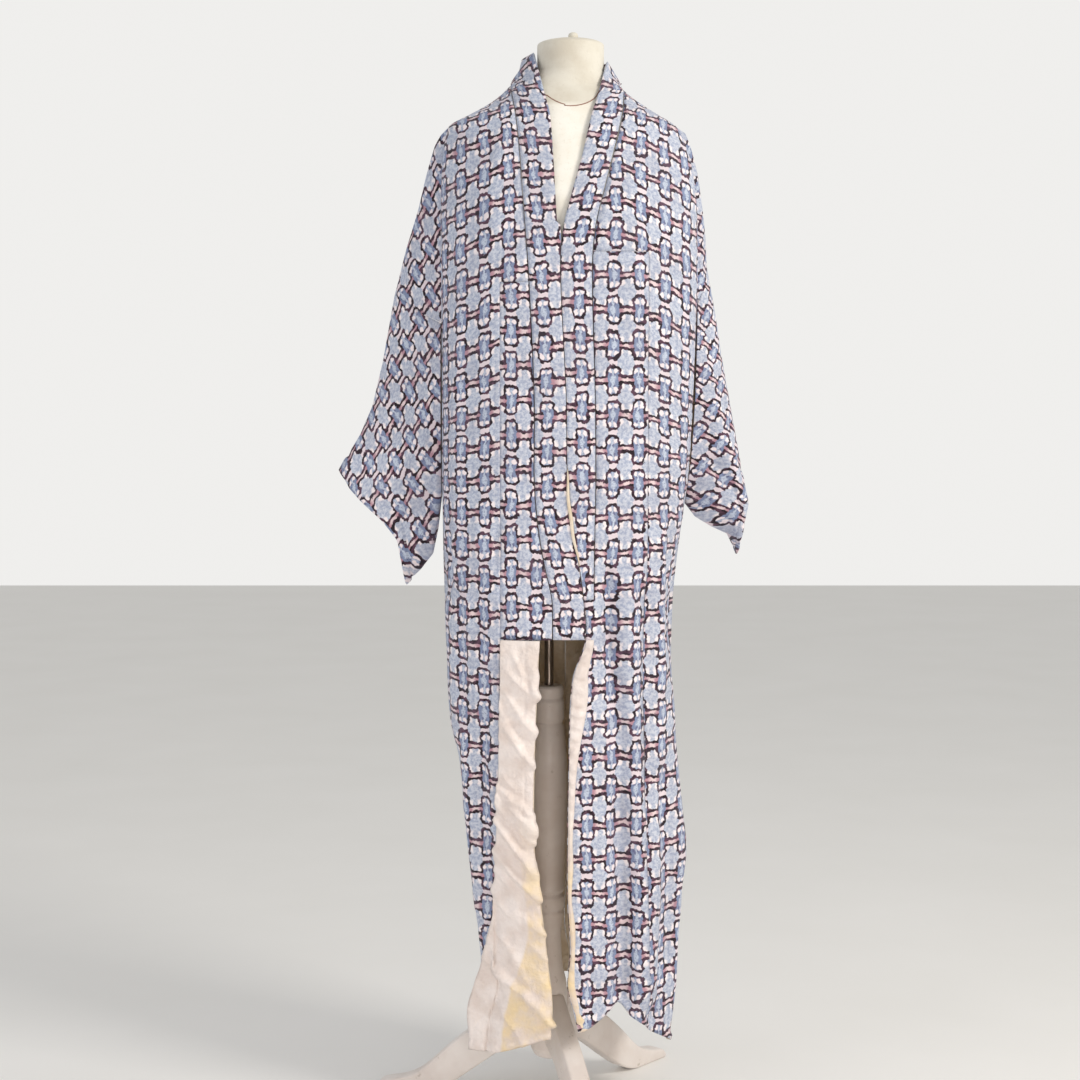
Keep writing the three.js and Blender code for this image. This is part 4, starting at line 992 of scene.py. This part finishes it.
FRONT_CRUMPLES = crumples(21, 150, (-240, 240), (220, 1560), (40, 170), (-0.14, 0.14), (5, 10), (0.8, 2.2))
BACK_CRUMPLES = crumples(22, 150, (-240, 240), (220, 1560), (40, 170), (-0.14, 0.14), (5, 10), (0.8, 2.2))
LINING_CRUMPLES = crumples(23, 150, (-140, 0), (160, 790), (40, 130), (0.3, 1.3), (4, 8), (2.0, 5.0))
# For the front (-1) and the back: the creases, the crumples and the seed of the swell.
HANGING = {-1: (FRONT_CREASES, FRONT_CRUMPLES, 3), 1: (BACK_CREASES, BACK_CRUMPLES, 5)}

for arm_name in ARMS:
    for panel_face in (-1, 1):
        panel(arm_name, panel_face)


def rows_between(top, bottom):
    return fine([z for z in ROWS if bottom <= z <= top], ROW_STEP)


def overlap(piece, grid, uv, keep=None):
    normals = grid_normals(grid)
    shaped = grid + hung(grid, normals, -1)
    over = arc_lengths(grid, 1)
    shaped = stitched(shaped, normals, np.minimum(over, over[:, -1][:, None] - over))
    if grid[-1, 0, 2] < HEM_BLEND:
        shaped = hem_roll(shaped, normals)
    thing = cloth_object(f"{piece}_silk", shaped, normals, uv, [PRINT, CREAM], CLOTH, keep)
    place(thing, "print_cloth", piece)


def right_overlap():
    rows = rows_between(OKUMI["right"]["top"], RIGHT_BOTTOM)
    points = []
    for i, z in enumerate(rows):
        outer = OKUMI["right"]["seam"] + SEAM / 2
        inner = inner_x("right", z, -1) - SEAM / 2
        drop = SEAM if i == 0 else 0
        lift = 3.5 * ease((RIGHT_BOTTOM + 34 - z) / 34)
        xs = [lerp(outer, inner, k / 12) for k in range(13)]
        points.append([draped(x, z - drop, -1, lift * ease(k / 3))[0] for k, x in enumerate(xs)])
    grid = np.array(points)
    uv = np.stack([grid[..., 0], REFERENCE - grid[..., 2] + 12.0], axis=2)
    overlap("okumi_right", grid, uv)


def left_overlap():
    rows = rows_between(OKUMI["left"]["top"], LAST_ROW)
    end = rows.index(COLLAR_END["left"])
    points = []
    for i, z in enumerate(rows):
        outer = OKUMI["left"]["seam"] - SEAM / 2
        collar_x = inner_x("left", z, -1) + SEAM / 2
        edge = read(FRONT_EDGES, "z", min(z, COLLAR_END["left"]), "closeLeft")
        xs = [lerp(edge, collar_x, k / 5) for k in range(5)]
        xs += [lerp(collar_x, outer, k / 14) for k in range(15)]
        points.append([draped(x, z - (SEAM if i == 0 else 0), -1)[0] for x in xs])
    grid = np.array(points)
    uv = np.stack([grid[..., 0], REFERENCE - grid[..., 2] - 10.0], axis=2)
    overlap("okumi_left", grid, uv, keep=lambda i, j: j >= 5 or i >= end)


TURN = {"lift": 7.4, "round": 3.7, "cloth": 1.6, "flat": 0.74, "slope": 0.4}
LIE = 0.5  # the lining's distance from the cloth it lies on
LINING = 1.0  # its thickness


def beside_body(x, z):
    """On the body, or past its side straight on, where the turned-out cloth hangs free."""
    s = section(z)
    limit = s[0] - TURN["flat"] * s[1]
    if x > limit:
        return draped(x, z, -1)
    point, normal = draped(limit, z, -1)
    t = ease((limit - x) / 12)
    point = point + Vector((x - limit, (limit - x) * TURN["slope"], 0))
    return point, normal.lerp(Vector((-TURN["slope"], -1, 0)), t).normalized()


def turned_row(z, drop):
    """Across the turned-out overlap: in from its seam, round its fold and back over itself."""
    held = max(z, TURNED["z"][0])
    fold = read(TURNED, "z", held, "fold") - TURN["cloth"]
    free = read(TURNED, "z", held, "free")
    seam = OKUMI["right"]["seam"] + SEAM / 2
    stops = [(lerp(seam, fold - 4, k / 8), 0.0, 0.0) for k in range(9)]
    for k in range(1, 9):
        turn = math.pi * k / 8
        out = TURN["round"] * (1 - math.cos(turn))
        stops.append((fold - 4 + 4 * math.sin(turn), out, math.degrees(turn)))
    stops += [(lerp(fold - 4, free, k / 26), TURN["lift"], 180.0) for k in range(1, 27)]
    points, normals = [], []
    for x, out, turn in stops:
        point, normal = beside_body(x, z - drop) if turn >= 180 else draped(x, z - drop, -1)
        over = Vector((normal.y, -normal.x, 0)).normalized()
        angle = math.radians(turn)
        points.append(point + normal * out)
        normals.append(normal * math.cos(angle) + over * math.sin(angle))
    return points, normals


# Creases of the turned-out lining: from one place to another, half width and depth.
LINING_CREASES = table(
    "x1 z1 x2 z2 width depth",
    (-84, 676, -20, 672, 5, -2.2), (-84, 622, -20, 626, 5, -2.0), (-78, 600, -48, 520, 7, 2.0),
    (-76, 560, -44, 440, 6, -2.2), (-74, 470, -46, 360, 6, 1.8), (-84, 420, -50, 320, 6, -2.2),
    (-40, 322, -2, 318, 4, -1.8), (-60, 253, 4, 261, 4, -2.2), (-98, 300, -60, 240, 7, 2.2),
    (-112, 262, -84, 200, 6, -2.4), (-96, 240, -70, 180, 6, 2.2), (-60, 240, -50, 180, 5, -2.0),
    (-40, 250, -32, 186, 5, 2.0), (-20, 250, -18, 190, 5, -2.0),
)
LINING_SEAM = table("z x", (140, -82), (184, -82), (216, -78), (253, -60), (280, -44), (693, -38), (786, -38))


def turned_overlap():
    rows = fine(rows_between(RIGHT_BOTTOM, LAST_ROW), 4.0)
    cloth, lining, lining_normals = [], [], []
    for i, z in enumerate(rows):
        points, normals = turned_row(z, SEAM if i == 0 else 0)
        cloth.append(points)
        rise = TURN["cloth"] + LIE + LINING
        lining.append([p - n * rise for p, n in zip(points[14:], normals[14:])])
        lining_normals.append([-n for n in normals[14:]])
    grid = np.array(cloth)
    normals = grid_normals(grid)
    first = grid_normals(grid[:, :6])
    if (normals[:, :6] * first).sum() < 0:
        normals = -normals
    uv = hanging_uv(grid, OKUMI["right"]["seam"])
    thing = cloth_object("okumi_right_turned_silk", grid, normals, uv, [PRINT, CREAM], TURN["cloth"])
    place(thing, "print_cloth", "okumi_right_turned")

    grid, normals = np.array(lining), np.array(lining_normals)
    shaped = crease(grid, normals, LINING_CREASES, grid[..., 0])
    shaped = crease(shaped, normals, LINING_CRUMPLES, grid[..., 0])
    shaped = ripple(shaped, normals, 11, 0.7)
    # The lining lies on the cloth, so its creases only stand up from it.
    depth = ((shaped - grid) * normals).sum(axis=2)
    depth = np.where(depth < 0, -1.7 * np.tanh(-depth / 2.5), 1.25 * depth)
    shaped = grid + normals * (2.0 + depth)[..., None]
    boundary = np.array([[read(LINING_SEAM, "z", max(z, 140), "x") for z in rows]]).T
    groove = np.exp(-(((grid[..., 0] - boundary) / 1.8) ** 2))
    shaped = shaped - normals * (1.1 * groove)[..., None]
    shaped = hem_roll(shaped, normals)
    thing = cloth_object("lining_right_satin", shaped, normals, hanging_uv(grid), [SATIN], LINING)
    place(thing, "lining_cloth", "lining_right")


def left_lining():
    """The strip of lining that the left front's edge shows, puckered by its stitches."""
    points = []
    for z in fine(rows_between(COLLAR_END["right"], LAST_ROW), 3.0):
        edge = read(FRONT_EDGES, "z", z, "closeLeft") + 1
        width = read(TURNED_STRIP, "z", z, "width")
        pucker = (0.5 + 1.5 * ease((z - 420) / 200)) * math.sin(z / 3.3 + 1.3 * math.sin(z / 21))
        wave = 1.2 * math.sin(z / 16) * ease((600 - z) / 200)
        line = []
        for k in range(9):
            t = k / 8
            crown = math.sin(math.pi * t)
            x = edge + (width + wave) * t
            line.append(draped(x, z, -1, LIE + LINING + (2.4 + pucker) * crown)[0])
        points.append(line)
    grid = np.array(points)
    normals = grid_normals(grid)
    thing = cloth_object("lining_left_satin", grid, normals, hanging_uv(grid), [SATIN], LINING)
    place(thing, "lining_cloth", "lining_left")


def closing_sliver():
    """The lining that looks out along the closing edge, above the overlap's free lower part."""
    points = []
    for k in range(48):
        z = lerp(902, 1052, k / 47)
        width = 5.0 * max(0.0, math.sin(math.pi * k / 47)) ** 0.6 + 0.6
        edge = read(FRONT_EDGES, "z", z, "closeLeft") + 1.5 + 0.5 * math.sin(z / 9)
        lifts = [4.0 + 0.9 * math.sin(math.pi * j / 4) for j in range(5)]
        points.append([draped(edge - width * j / 4, z, -1, lift)[0] for j, lift in enumerate(lifts)])
    grid = np.array(points)
    normals = grid_normals(grid)
    thing = cloth_object("lining_left_sliver", grid, normals, hanging_uv(grid), [CREAM], LINING)
    place(thing, "lining_cloth")


closing_sliver()
right_overlap()
left_overlap()
turned_overlap()
left_lining()


# ---- The collar ----
COLLAR_LIFT = 2.0
COLLAR_SEAM = 1.3
COLLAR_ROWS = [1485, 1505, 1525, 1545, 1564, 1582, 1598, 1613, 1628, 1641]
COLLAR_CELLS = 12


def front_collar_row(name, z):
    side = ARMS[name]["side"]
    seam = inner_x(name, z, -1) - side * COLLAR_SEAM
    close = read(FRONT_EDGES, "z", z, "closeRight" if side < 0 else "closeLeft") + side * SEAM
    if side < 0 and z < 1430:
        # The right edge runs close under the left one, all the way down.
        close = max(close, min(close + 5, read(FRONT_EDGES, "z", z, "closeLeft") - 0.8))
    xs = [lerp(seam, close, k / COLLAR_CELLS) for k in range(COLLAR_CELLS + 1)]
    return [on_body(x, z, -1, COLLAR_LIFT)[0] for x in xs]


def neck_collar_row(turn):
    of = lambda column: read(NECK_BAND, "turn", turn, column)
    # Behind the neck the band's lower edge covers the edge of the backs.
    cover = (7 if turn > 0 else 4) * ease((88 - abs(turn)) / 30)
    seam = on_body(of("seamX"), of("seamZ") - cover, -1 if abs(turn) == 90 else 1, COLLAR_LIFT)[0]
    seam.x += math.copysign(COLLAR_SEAM, BACK_SEAM_X - seam.x) if seam.x != BACK_SEAM_X else 0
    seam.z += COLLAR_SEAM
    edge = Vector((of("edgeX"), of("edgeY"), of("edgeZ")))
    return [seam.lerp(edge, k / COLLAR_CELLS) for k in range(COLLAR_CELLS + 1)]


def collar():
    def heights(bottom):
        return fine([bottom + SEAM] + sorted(z for z in ROWS if bottom < z < 1480) + COLLAR_ROWS, ROW_STEP)
    rows = [front_collar_row("right", z) for z in heights(COLLAR_END["right"])]
    rows += [neck_collar_row(-90 + 180 * k / 36) for k in range(37)]
    rows += [front_collar_row("left", z) for z in reversed(heights(COLLAR_END["left"]))]
    grid = np.array(rows)
    centre = np.array([BACK_SEAM_X, SIDE_Y, 0])
    outward = (grid - centre) * np.array([1, 1, 0])
    normals = grid_normals(grid, outward)
    over = arc_lengths(grid, 1)
    t = over / over[:, -1][:, None]
    down = arc_lengths(grid, 0)[:, COLLAR_CELLS // 2][:, None]
    crown = 0.9 * np.sin(np.pi * t) - 1.2 * np.exp(-((t / 0.07) ** 2))
    pull = 0.35 * np.sin(down / 9 + 4 * t) * np.sin(down / 61)
    grid = grid + normals * (crown + pull)[..., None]
    uv = np.stack([over, np.broadcast_to(down, over.shape)], axis=2)
    thing = cloth_object("collar_silk", grid, normals, uv, [PRINT, PRINT], COLLAR_CLOTH)
    place(thing, "print_cloth", "collar")


collar()


# ---- Sleeves ----
SLEEVE_GAP = 0.2
# Soft folds of a sleeve: place round it from the upper fold, half width, depth and how far along it.
SLEEVE_FOLDS = {
    "right": [(0.22, 0.05, -4, 0.1), (0.42, 0.06, 3, 0.0), (0.62, 0.05, -5, 0.2), (0.8, 0.05, 3, 0.1)],
    "left": [(0.2, 0.05, -4, 0.15), (0.38, 0.05, 3, 0.1), (0.55, 0.05, -5, 0.0), (0.76, 0.06, 3, 0.2)],
}
CUFF_BAND = {"right": 2.6, "left": 1.0}  # how far the cuff's band stands out


def sleeve_point(arm, root, s, v):
    top, low = along(arm["top"], s), along(arm["low"], s)
    seam, cuff = along(root, v), along(arm["cuff"], v)
    out = []
    for key in (0, 1):
        first = lerp(root[0][key], arm["cuff"][0][key], s)
        corners = lerp(first, lerp(root[-1][key], arm["cuff"][-1][key], s), v)
        out.append(lerp(top[key], low[key], v) + lerp(seam[key], cuff[key], s) - corners)
    return out


def sleeve(name):
    arm = ARMS[name]
    root = root_path(arm)
    half = [(1 - math.cos(math.pi * k / 12)) / 2 for k in range(13)]
    half[3], half[4] = seam_fractions(arm)
    sides, steps = 96, 54
    rows = []
    for i in range(steps + 1):
        s = i / steps
        depth = lerp(arm["halfDepth"], arm["cuffDepth"], ease(s))
        away = SLEEVE_GAP * (1 - ease(s))
        row = []
        for k in range(sides):
            front = k <= sides // 2
            around = (k if front else sides - k) * 24 / sides
            v = float(np.interp(around, range(13), half))
            x, z = sleeve_point(arm, root, s, v)
            shape = max(0.0, lens(v))
            y = SIDE_Y + arm["swing"] * s + (-1 if front else 1) * depth * shape
            row.append((x + arm["side"] * away, y, z - away))
        rows.append(row)
    grid = np.array(rows)
    middle = grid.mean(axis=1, keepdims=True)
    outward = grid - middle
    outward /= np.linalg.norm(outward, axis=2, keepdims=True)
    wrapped = np.concatenate([grid[:, -1:], grid, grid[:, :1]], axis=1)
    normals = np.cross(np.gradient(wrapped, axis=1), np.gradient(wrapped, axis=0))[:, 1:-1]
    normals /= np.maximum(np.linalg.norm(normals, axis=2, keepdims=True), 1e-9)
    normals *= np.sign((normals * outward).sum())
    s = (np.arange(steps + 1) / steps)[:, None]
    ring_place = (np.arange(sides) / sides)[None, :]
    relief = np.zeros(grid.shape[:2])
    for face in (0, 1):
        part = 2 * ring_place if face == 0 else 2 * (1 - ring_place)
        on = (ring_place <= 0.5) if face == 0 else (ring_place > 0.5)
        for at, width, depth, start in SLEEVE_FOLDS[name]:
            bend = at + 0.06 * np.sin(3.1 * s + 2 * at + face)
            relief += on * depth * np.exp(-(((part - bend) / width) ** 2)) * smooth((s - start) * 2.2)
    # The cuff's band stands a little proud of a groove beside it.
    relief += -2.0 * np.exp(-(((s - 0.9) / 0.012) ** 2)) + CUFF_BAND[name] * smooth((s - 0.905) * 30)
    relief *= smooth(s * 12)
    grid = ripple(grid + normals * relief[..., None], normals, 17, 0.5)
    uv = arm_uv(np.concatenate([grid, grid[:, :1]], axis=1), name)
    piece = f"sleeve_{name}"
    thing = cloth_object(f"{piece}_silk", grid, normals, uv, [PRINT, CREAM], CLOTH, ring=True)
    place(thing, "print_cloth", piece)


for arm_name in ARMS:
    sleeve(arm_name)


# ---- The dress form ----
FORM_SIDES = 96
CLOTH_AND_SEAT = 2.9  # the wall of cloth and its gap from the form
NECK_LOW = 1644  # from here up the form's oval turns into the neck's circle


def form_ring(z):
    inset = CLOTH_AND_SEAT * lerp(1.1, 1.95, ease((z - 1500) / 80))
    if z > NECK["base"]:
        return NECK["x"], NECK["radius"], NECK["radius"], NECK["radius"], 2.0
    torso, shoulder = section(min(z, 1460), True), section(z)
    t = ease((z - 1400) / 90)
    mid = lerp(torso[0], shoulder[0], t)
    half, front, back = (lerp(torso[k], shoulder[k] - inset, t) for k in (1, 2, 3))
    return mid, half, front, back - 2 * t, lerp(2.2, shoulder[4], t)


def ring_points(z, mid, half, front, back, power):
    points = []
    for k in range(FORM_SIDES):
        turn = 2 * math.pi * k / FORM_SIDES
        c, s = math.cos(turn), math.sin(turn)
        points.append((
            mid + half * math.copysign(abs(c) ** (2 / power), c),
            SIDE_Y + (front if s < 0 else back) * math.copysign(abs(s) ** (2 / power), s),
            z,
        ))
    return points


def neck_ring(t):
    """A ring between the shoulders (0) and the round neck (1)."""
    mid, half, front, back, _ = form_ring(NECK_LOW)
    sizes = [lerp(size, NECK["radius"], math.sqrt(t)) for size in (half, front, back)]
    return ring_points(lerp(NECK_LOW, NECK["base"], t), lerp(mid, NECK["x"], ease(t)), *sizes, 2.0)


def capped_rings(name, rings, materials):
    """A closed solid through rings of points, with a flat cap at each end."""
    count = len(rings[0])
    vertices = to_frame(np.array(rings).reshape(-1, 3))
    faces = []
    for i in range(len(rings) - 1):
        for k in range(count):
            a, b = i * count + k, i * count + (k + 1) % count
            faces.append([a, b, b + count, a + count])
    faces.append(list(reversed(range(count))))
    faces.append([(len(rings) - 1) * count + k for k in range(count)])
    return make_object(name, vertices, faces, materials)


def torso():
    heights = fine([
        880, 890, 960, 1080, 1160, 1230, 1300, 1370, 1420, 1460, 1500, 1530, 1549, 1563, 1574, 1582, 1590,
        1597, 1604, 1612, 1620, 1628, 1636, NECK_LOW,
    ], 12)
    rings = [ring_points(z, *form_ring(z)) for z in heights]
    rings += [neck_ring(k / 8) for k in range(1, 9)]
    rings.append(ring_points(NECK["top"], *form_ring(NECK["top"])))
    for angle in range(10, 90, 8):
        radius = NECK["radius"] * math.cos(math.radians(angle))
        top = lerp(NECK["top"], NECK["cap"], math.sin(math.radians(angle)) / math.sin(math.radians(82)))
        rings.append(ring_points(top, NECK["x"], radius, radius, radius, 2.0))
    thing = capped_rings("form_torso_calico", rings, [CALICO])
    place(thing, "calico", "form_torso")


def tube(name, line, radius, material):
    """A closed loop of thread."""
    curve = bpy.data.curves.new(name, "CURVE")
    curve.dimensions = "3D"
    curve.bevel_depth = radius * MM
    curve.bevel_resolution = 2
    spline = curve.splines.new("POLY")
    spline.points.add(len(line) - 1)
    for point, (x, y, z) in zip(spline.points, to_frame(np.array(line))):
        point.co = (x, y, z, 1)
    spline.use_cyclic_u = True
    curve.materials.append(material)
    return add_object(name, curve)


def neck_thread():
    """The seam thread round the base of the neck, low in front and high at the back."""
    points = []
    for k in range(72):
        turn = 2 * math.pi * k / 72
        z = 1612 + 54 * ease(abs((math.degrees(turn) + 90 + 180) % 360 - 180) / 80)
        if z <= NECK_LOW:
            ring = ring_points(z, *form_ring(z))
        else:
            ring = neck_ring((z - NECK_LOW) / (NECK["base"] - NECK_LOW))
        want = Vector((math.cos(turn), math.sin(turn)))
        points.append(max(
            ring, key=lambda p: Vector((p[0] - NECK["x"], p[1] - SIDE_Y)).normalized().dot(want),
        ))
    thing = tube("neck_seam_thread", points, 0.9, THREAD)
    place(thing, "calico")


def lathe(name, profile, sides, materials, centre=(0.0, 0.0), bevel=0.0):
    rings = []
    for z, r in profile:
        turns = [2 * math.pi * k / sides for k in range(sides)]
        rings.append([(centre[0] + r * math.cos(t), centre[1] + r * math.sin(t), z) for t in turns])
    thing = capped_rings(name, rings, materials)
    finish_edges(thing, bevel)
    return thing


def finish_edges(thing, bevel):
    if bevel:
        modifier = thing.modifiers.new("Edges", "BEVEL")
        modifier.width = bevel * MM
        modifier.segments = 3
        modifier.limit_method = "ANGLE"
        modifier.angle_limit = math.radians(24)
        apply_modifiers(thing)
    for polygon in thing.data.polygons:
        polygon.use_smooth = True
    thing.data.set_sharp_from_angle(angle=math.radians(50))


def stand():
    column = lathe("column_turned", list(zip(COLUMN["z"], COLUMN["r"])), 72, [PAINT], bevel=1.2)
    place(column, "paint", "column")
    pole = lathe("pole_steel", [(POLE["bottom"], POLE["radius"]), (POLE["top"], POLE["radius"])], 40, [STEEL])
    place(pole, "metal", "pole")
    r, z, h = KNOB["radius"], KNOB["bottom"], KNOB["height"]
    shape = ((0, 0.8), (0.2, 0.95), (0.45, 1), (0.8, 0.85), (1, 0.4))
    profile = [(z + h * up, r * wide) for up, wide in shape]
    knob = lathe("knob_calico", profile, 40, [CALICO], centre=(KNOB["x"], SIDE_Y), bevel=0.8)
    place(knob, "calico", "form_knob")
    for name, azimuth in LEG_AZIMUTHS.items():
        place(leg(name, azimuth), "paint", name)


def leg(name, azimuth):
    """Out of the column, over a knee and down to a flat foot."""
    outs = fine(LEG["out"], 12)
    low = [(x, max(0.0, read(LEG, "out", x, "low"))) for x in outs]
    high = [(x, read(LEG, "out", x, "high")) for x in reversed(outs)]
    outline = low + high
    turn = math.radians(azimuth)
    c, s = math.cos(turn), math.sin(turn)
    vertices = []
    for y in (-LEG_THICKNESS / 2, LEG_THICKNESS / 2):
        vertices += [(x * c - y * s, x * s + y * c, z) for x, z in outline]
    count = len(outline)
    faces = [list(range(count)), [2 * count - 1 - k for k in range(count)]]
    faces += [[(k + 1) % count, k, k + count, (k + 1) % count + count] for k in range(count)]
    thing = make_object(f"{name}_painted", to_frame(np.array(vertices)), faces, [PAINT])
    mesh = bmesh.new()
    mesh.from_mesh(thing.data)
    bmesh.ops.recalc_face_normals(mesh, faces=mesh.faces)
    mesh.to_mesh(thing.data)
    mesh.free()
    finish_edges(thing, 5.0)
    return thing


torso()
neck_thread()
stand()


# ---- Floor, camera and light ----
CAMERA_AT = (-14.6, -3200.0, 1200.0)
CAMERA_DOWN = 4.82  # degrees
FOCAL_PIXELS = 1987.0
PICTURE = 1080.0  # the picture's width in pixels
SENSOR = 36.0


def floor():
    mesh = bpy.data.meshes.new("floor")
    reach = 8.0
    corners = [(-reach, -reach, 0), (reach, -reach, 0), (reach, reach, 0), (-reach, reach, 0)]
    mesh.from_pydata(corners, [], [[0, 1, 2, 3]])
    thing = add_object("floor", mesh)
    n = Nodes("Floor")
    tone = n.noise(n.object_place(), 3.0, 3.0)
    mesh.materials.append(n.finish(n.mix(tone, linear(246, 245, 243), linear(240, 239, 236)), 0.85))


def camera():
    data = bpy.data.cameras.new("camera")
    data.sensor_width = SENSOR
    data.lens = SENSOR * FOCAL_PIXELS / PICTURE
    data.clip_end = 30
    thing = add_object("camera", data)
    thing.location = Vector(to_frame(np.array(CAMERA_AT)))
    thing.rotation_euler = (math.radians(90 - CAMERA_DOWN), 0, 0)
    bpy.context.scene.camera = thing


def area_light(name, at, aim, size, power, colour):
    data = bpy.data.lights.new(name, "AREA")
    data.shape = "RECTANGLE"
    data.size, data.size_y = size
    data.energy = power
    data.color = colour[:3]
    thing = add_object(name, data)
    thing.location = Vector(at)
    thing.rotation_euler = (Vector(aim) - Vector(at)).to_track_quat("-Z", "Y").to_euler()


def light():
    world = bpy.data.worlds.new("studio")
    bpy.context.scene.world = world
    world.use_nodes = True
    tree = world.node_tree
    back = tree.nodes["Background"]
    back.inputs[0].default_value = linear(244, 243, 241)
    seen, mixed = tree.nodes.new("ShaderNodeLightPath"), tree.nodes.new("ShaderNodeMapRange")
    mixed.inputs["To Min"].default_value = 0.66
    mixed.inputs["To Max"].default_value = 0.96
    tree.links.new(seen.outputs["Is Camera Ray"], mixed.inputs["Value"])
    tree.links.new(mixed.outputs[0], back.inputs[1])
    area_light("key", (2.2, -1.5, 2.6), (0, 0, 1.2), (0.8, 1.0), 50, linear(255, 250, 242))
    area_light("fill", (-2.2, -1.6, 1.6), (0, 0, 0.9), (1.6, 2.0), 10, linear(238, 242, 255))
    area_light("low", (0.1, -1.6, 0.5), (0, 0, 0.55), (0.4, 0.6), 4, linear(255, 240, 230))
    bpy.context.scene.view_settings.view_transform = "Standard"


floor()
camera()
light()
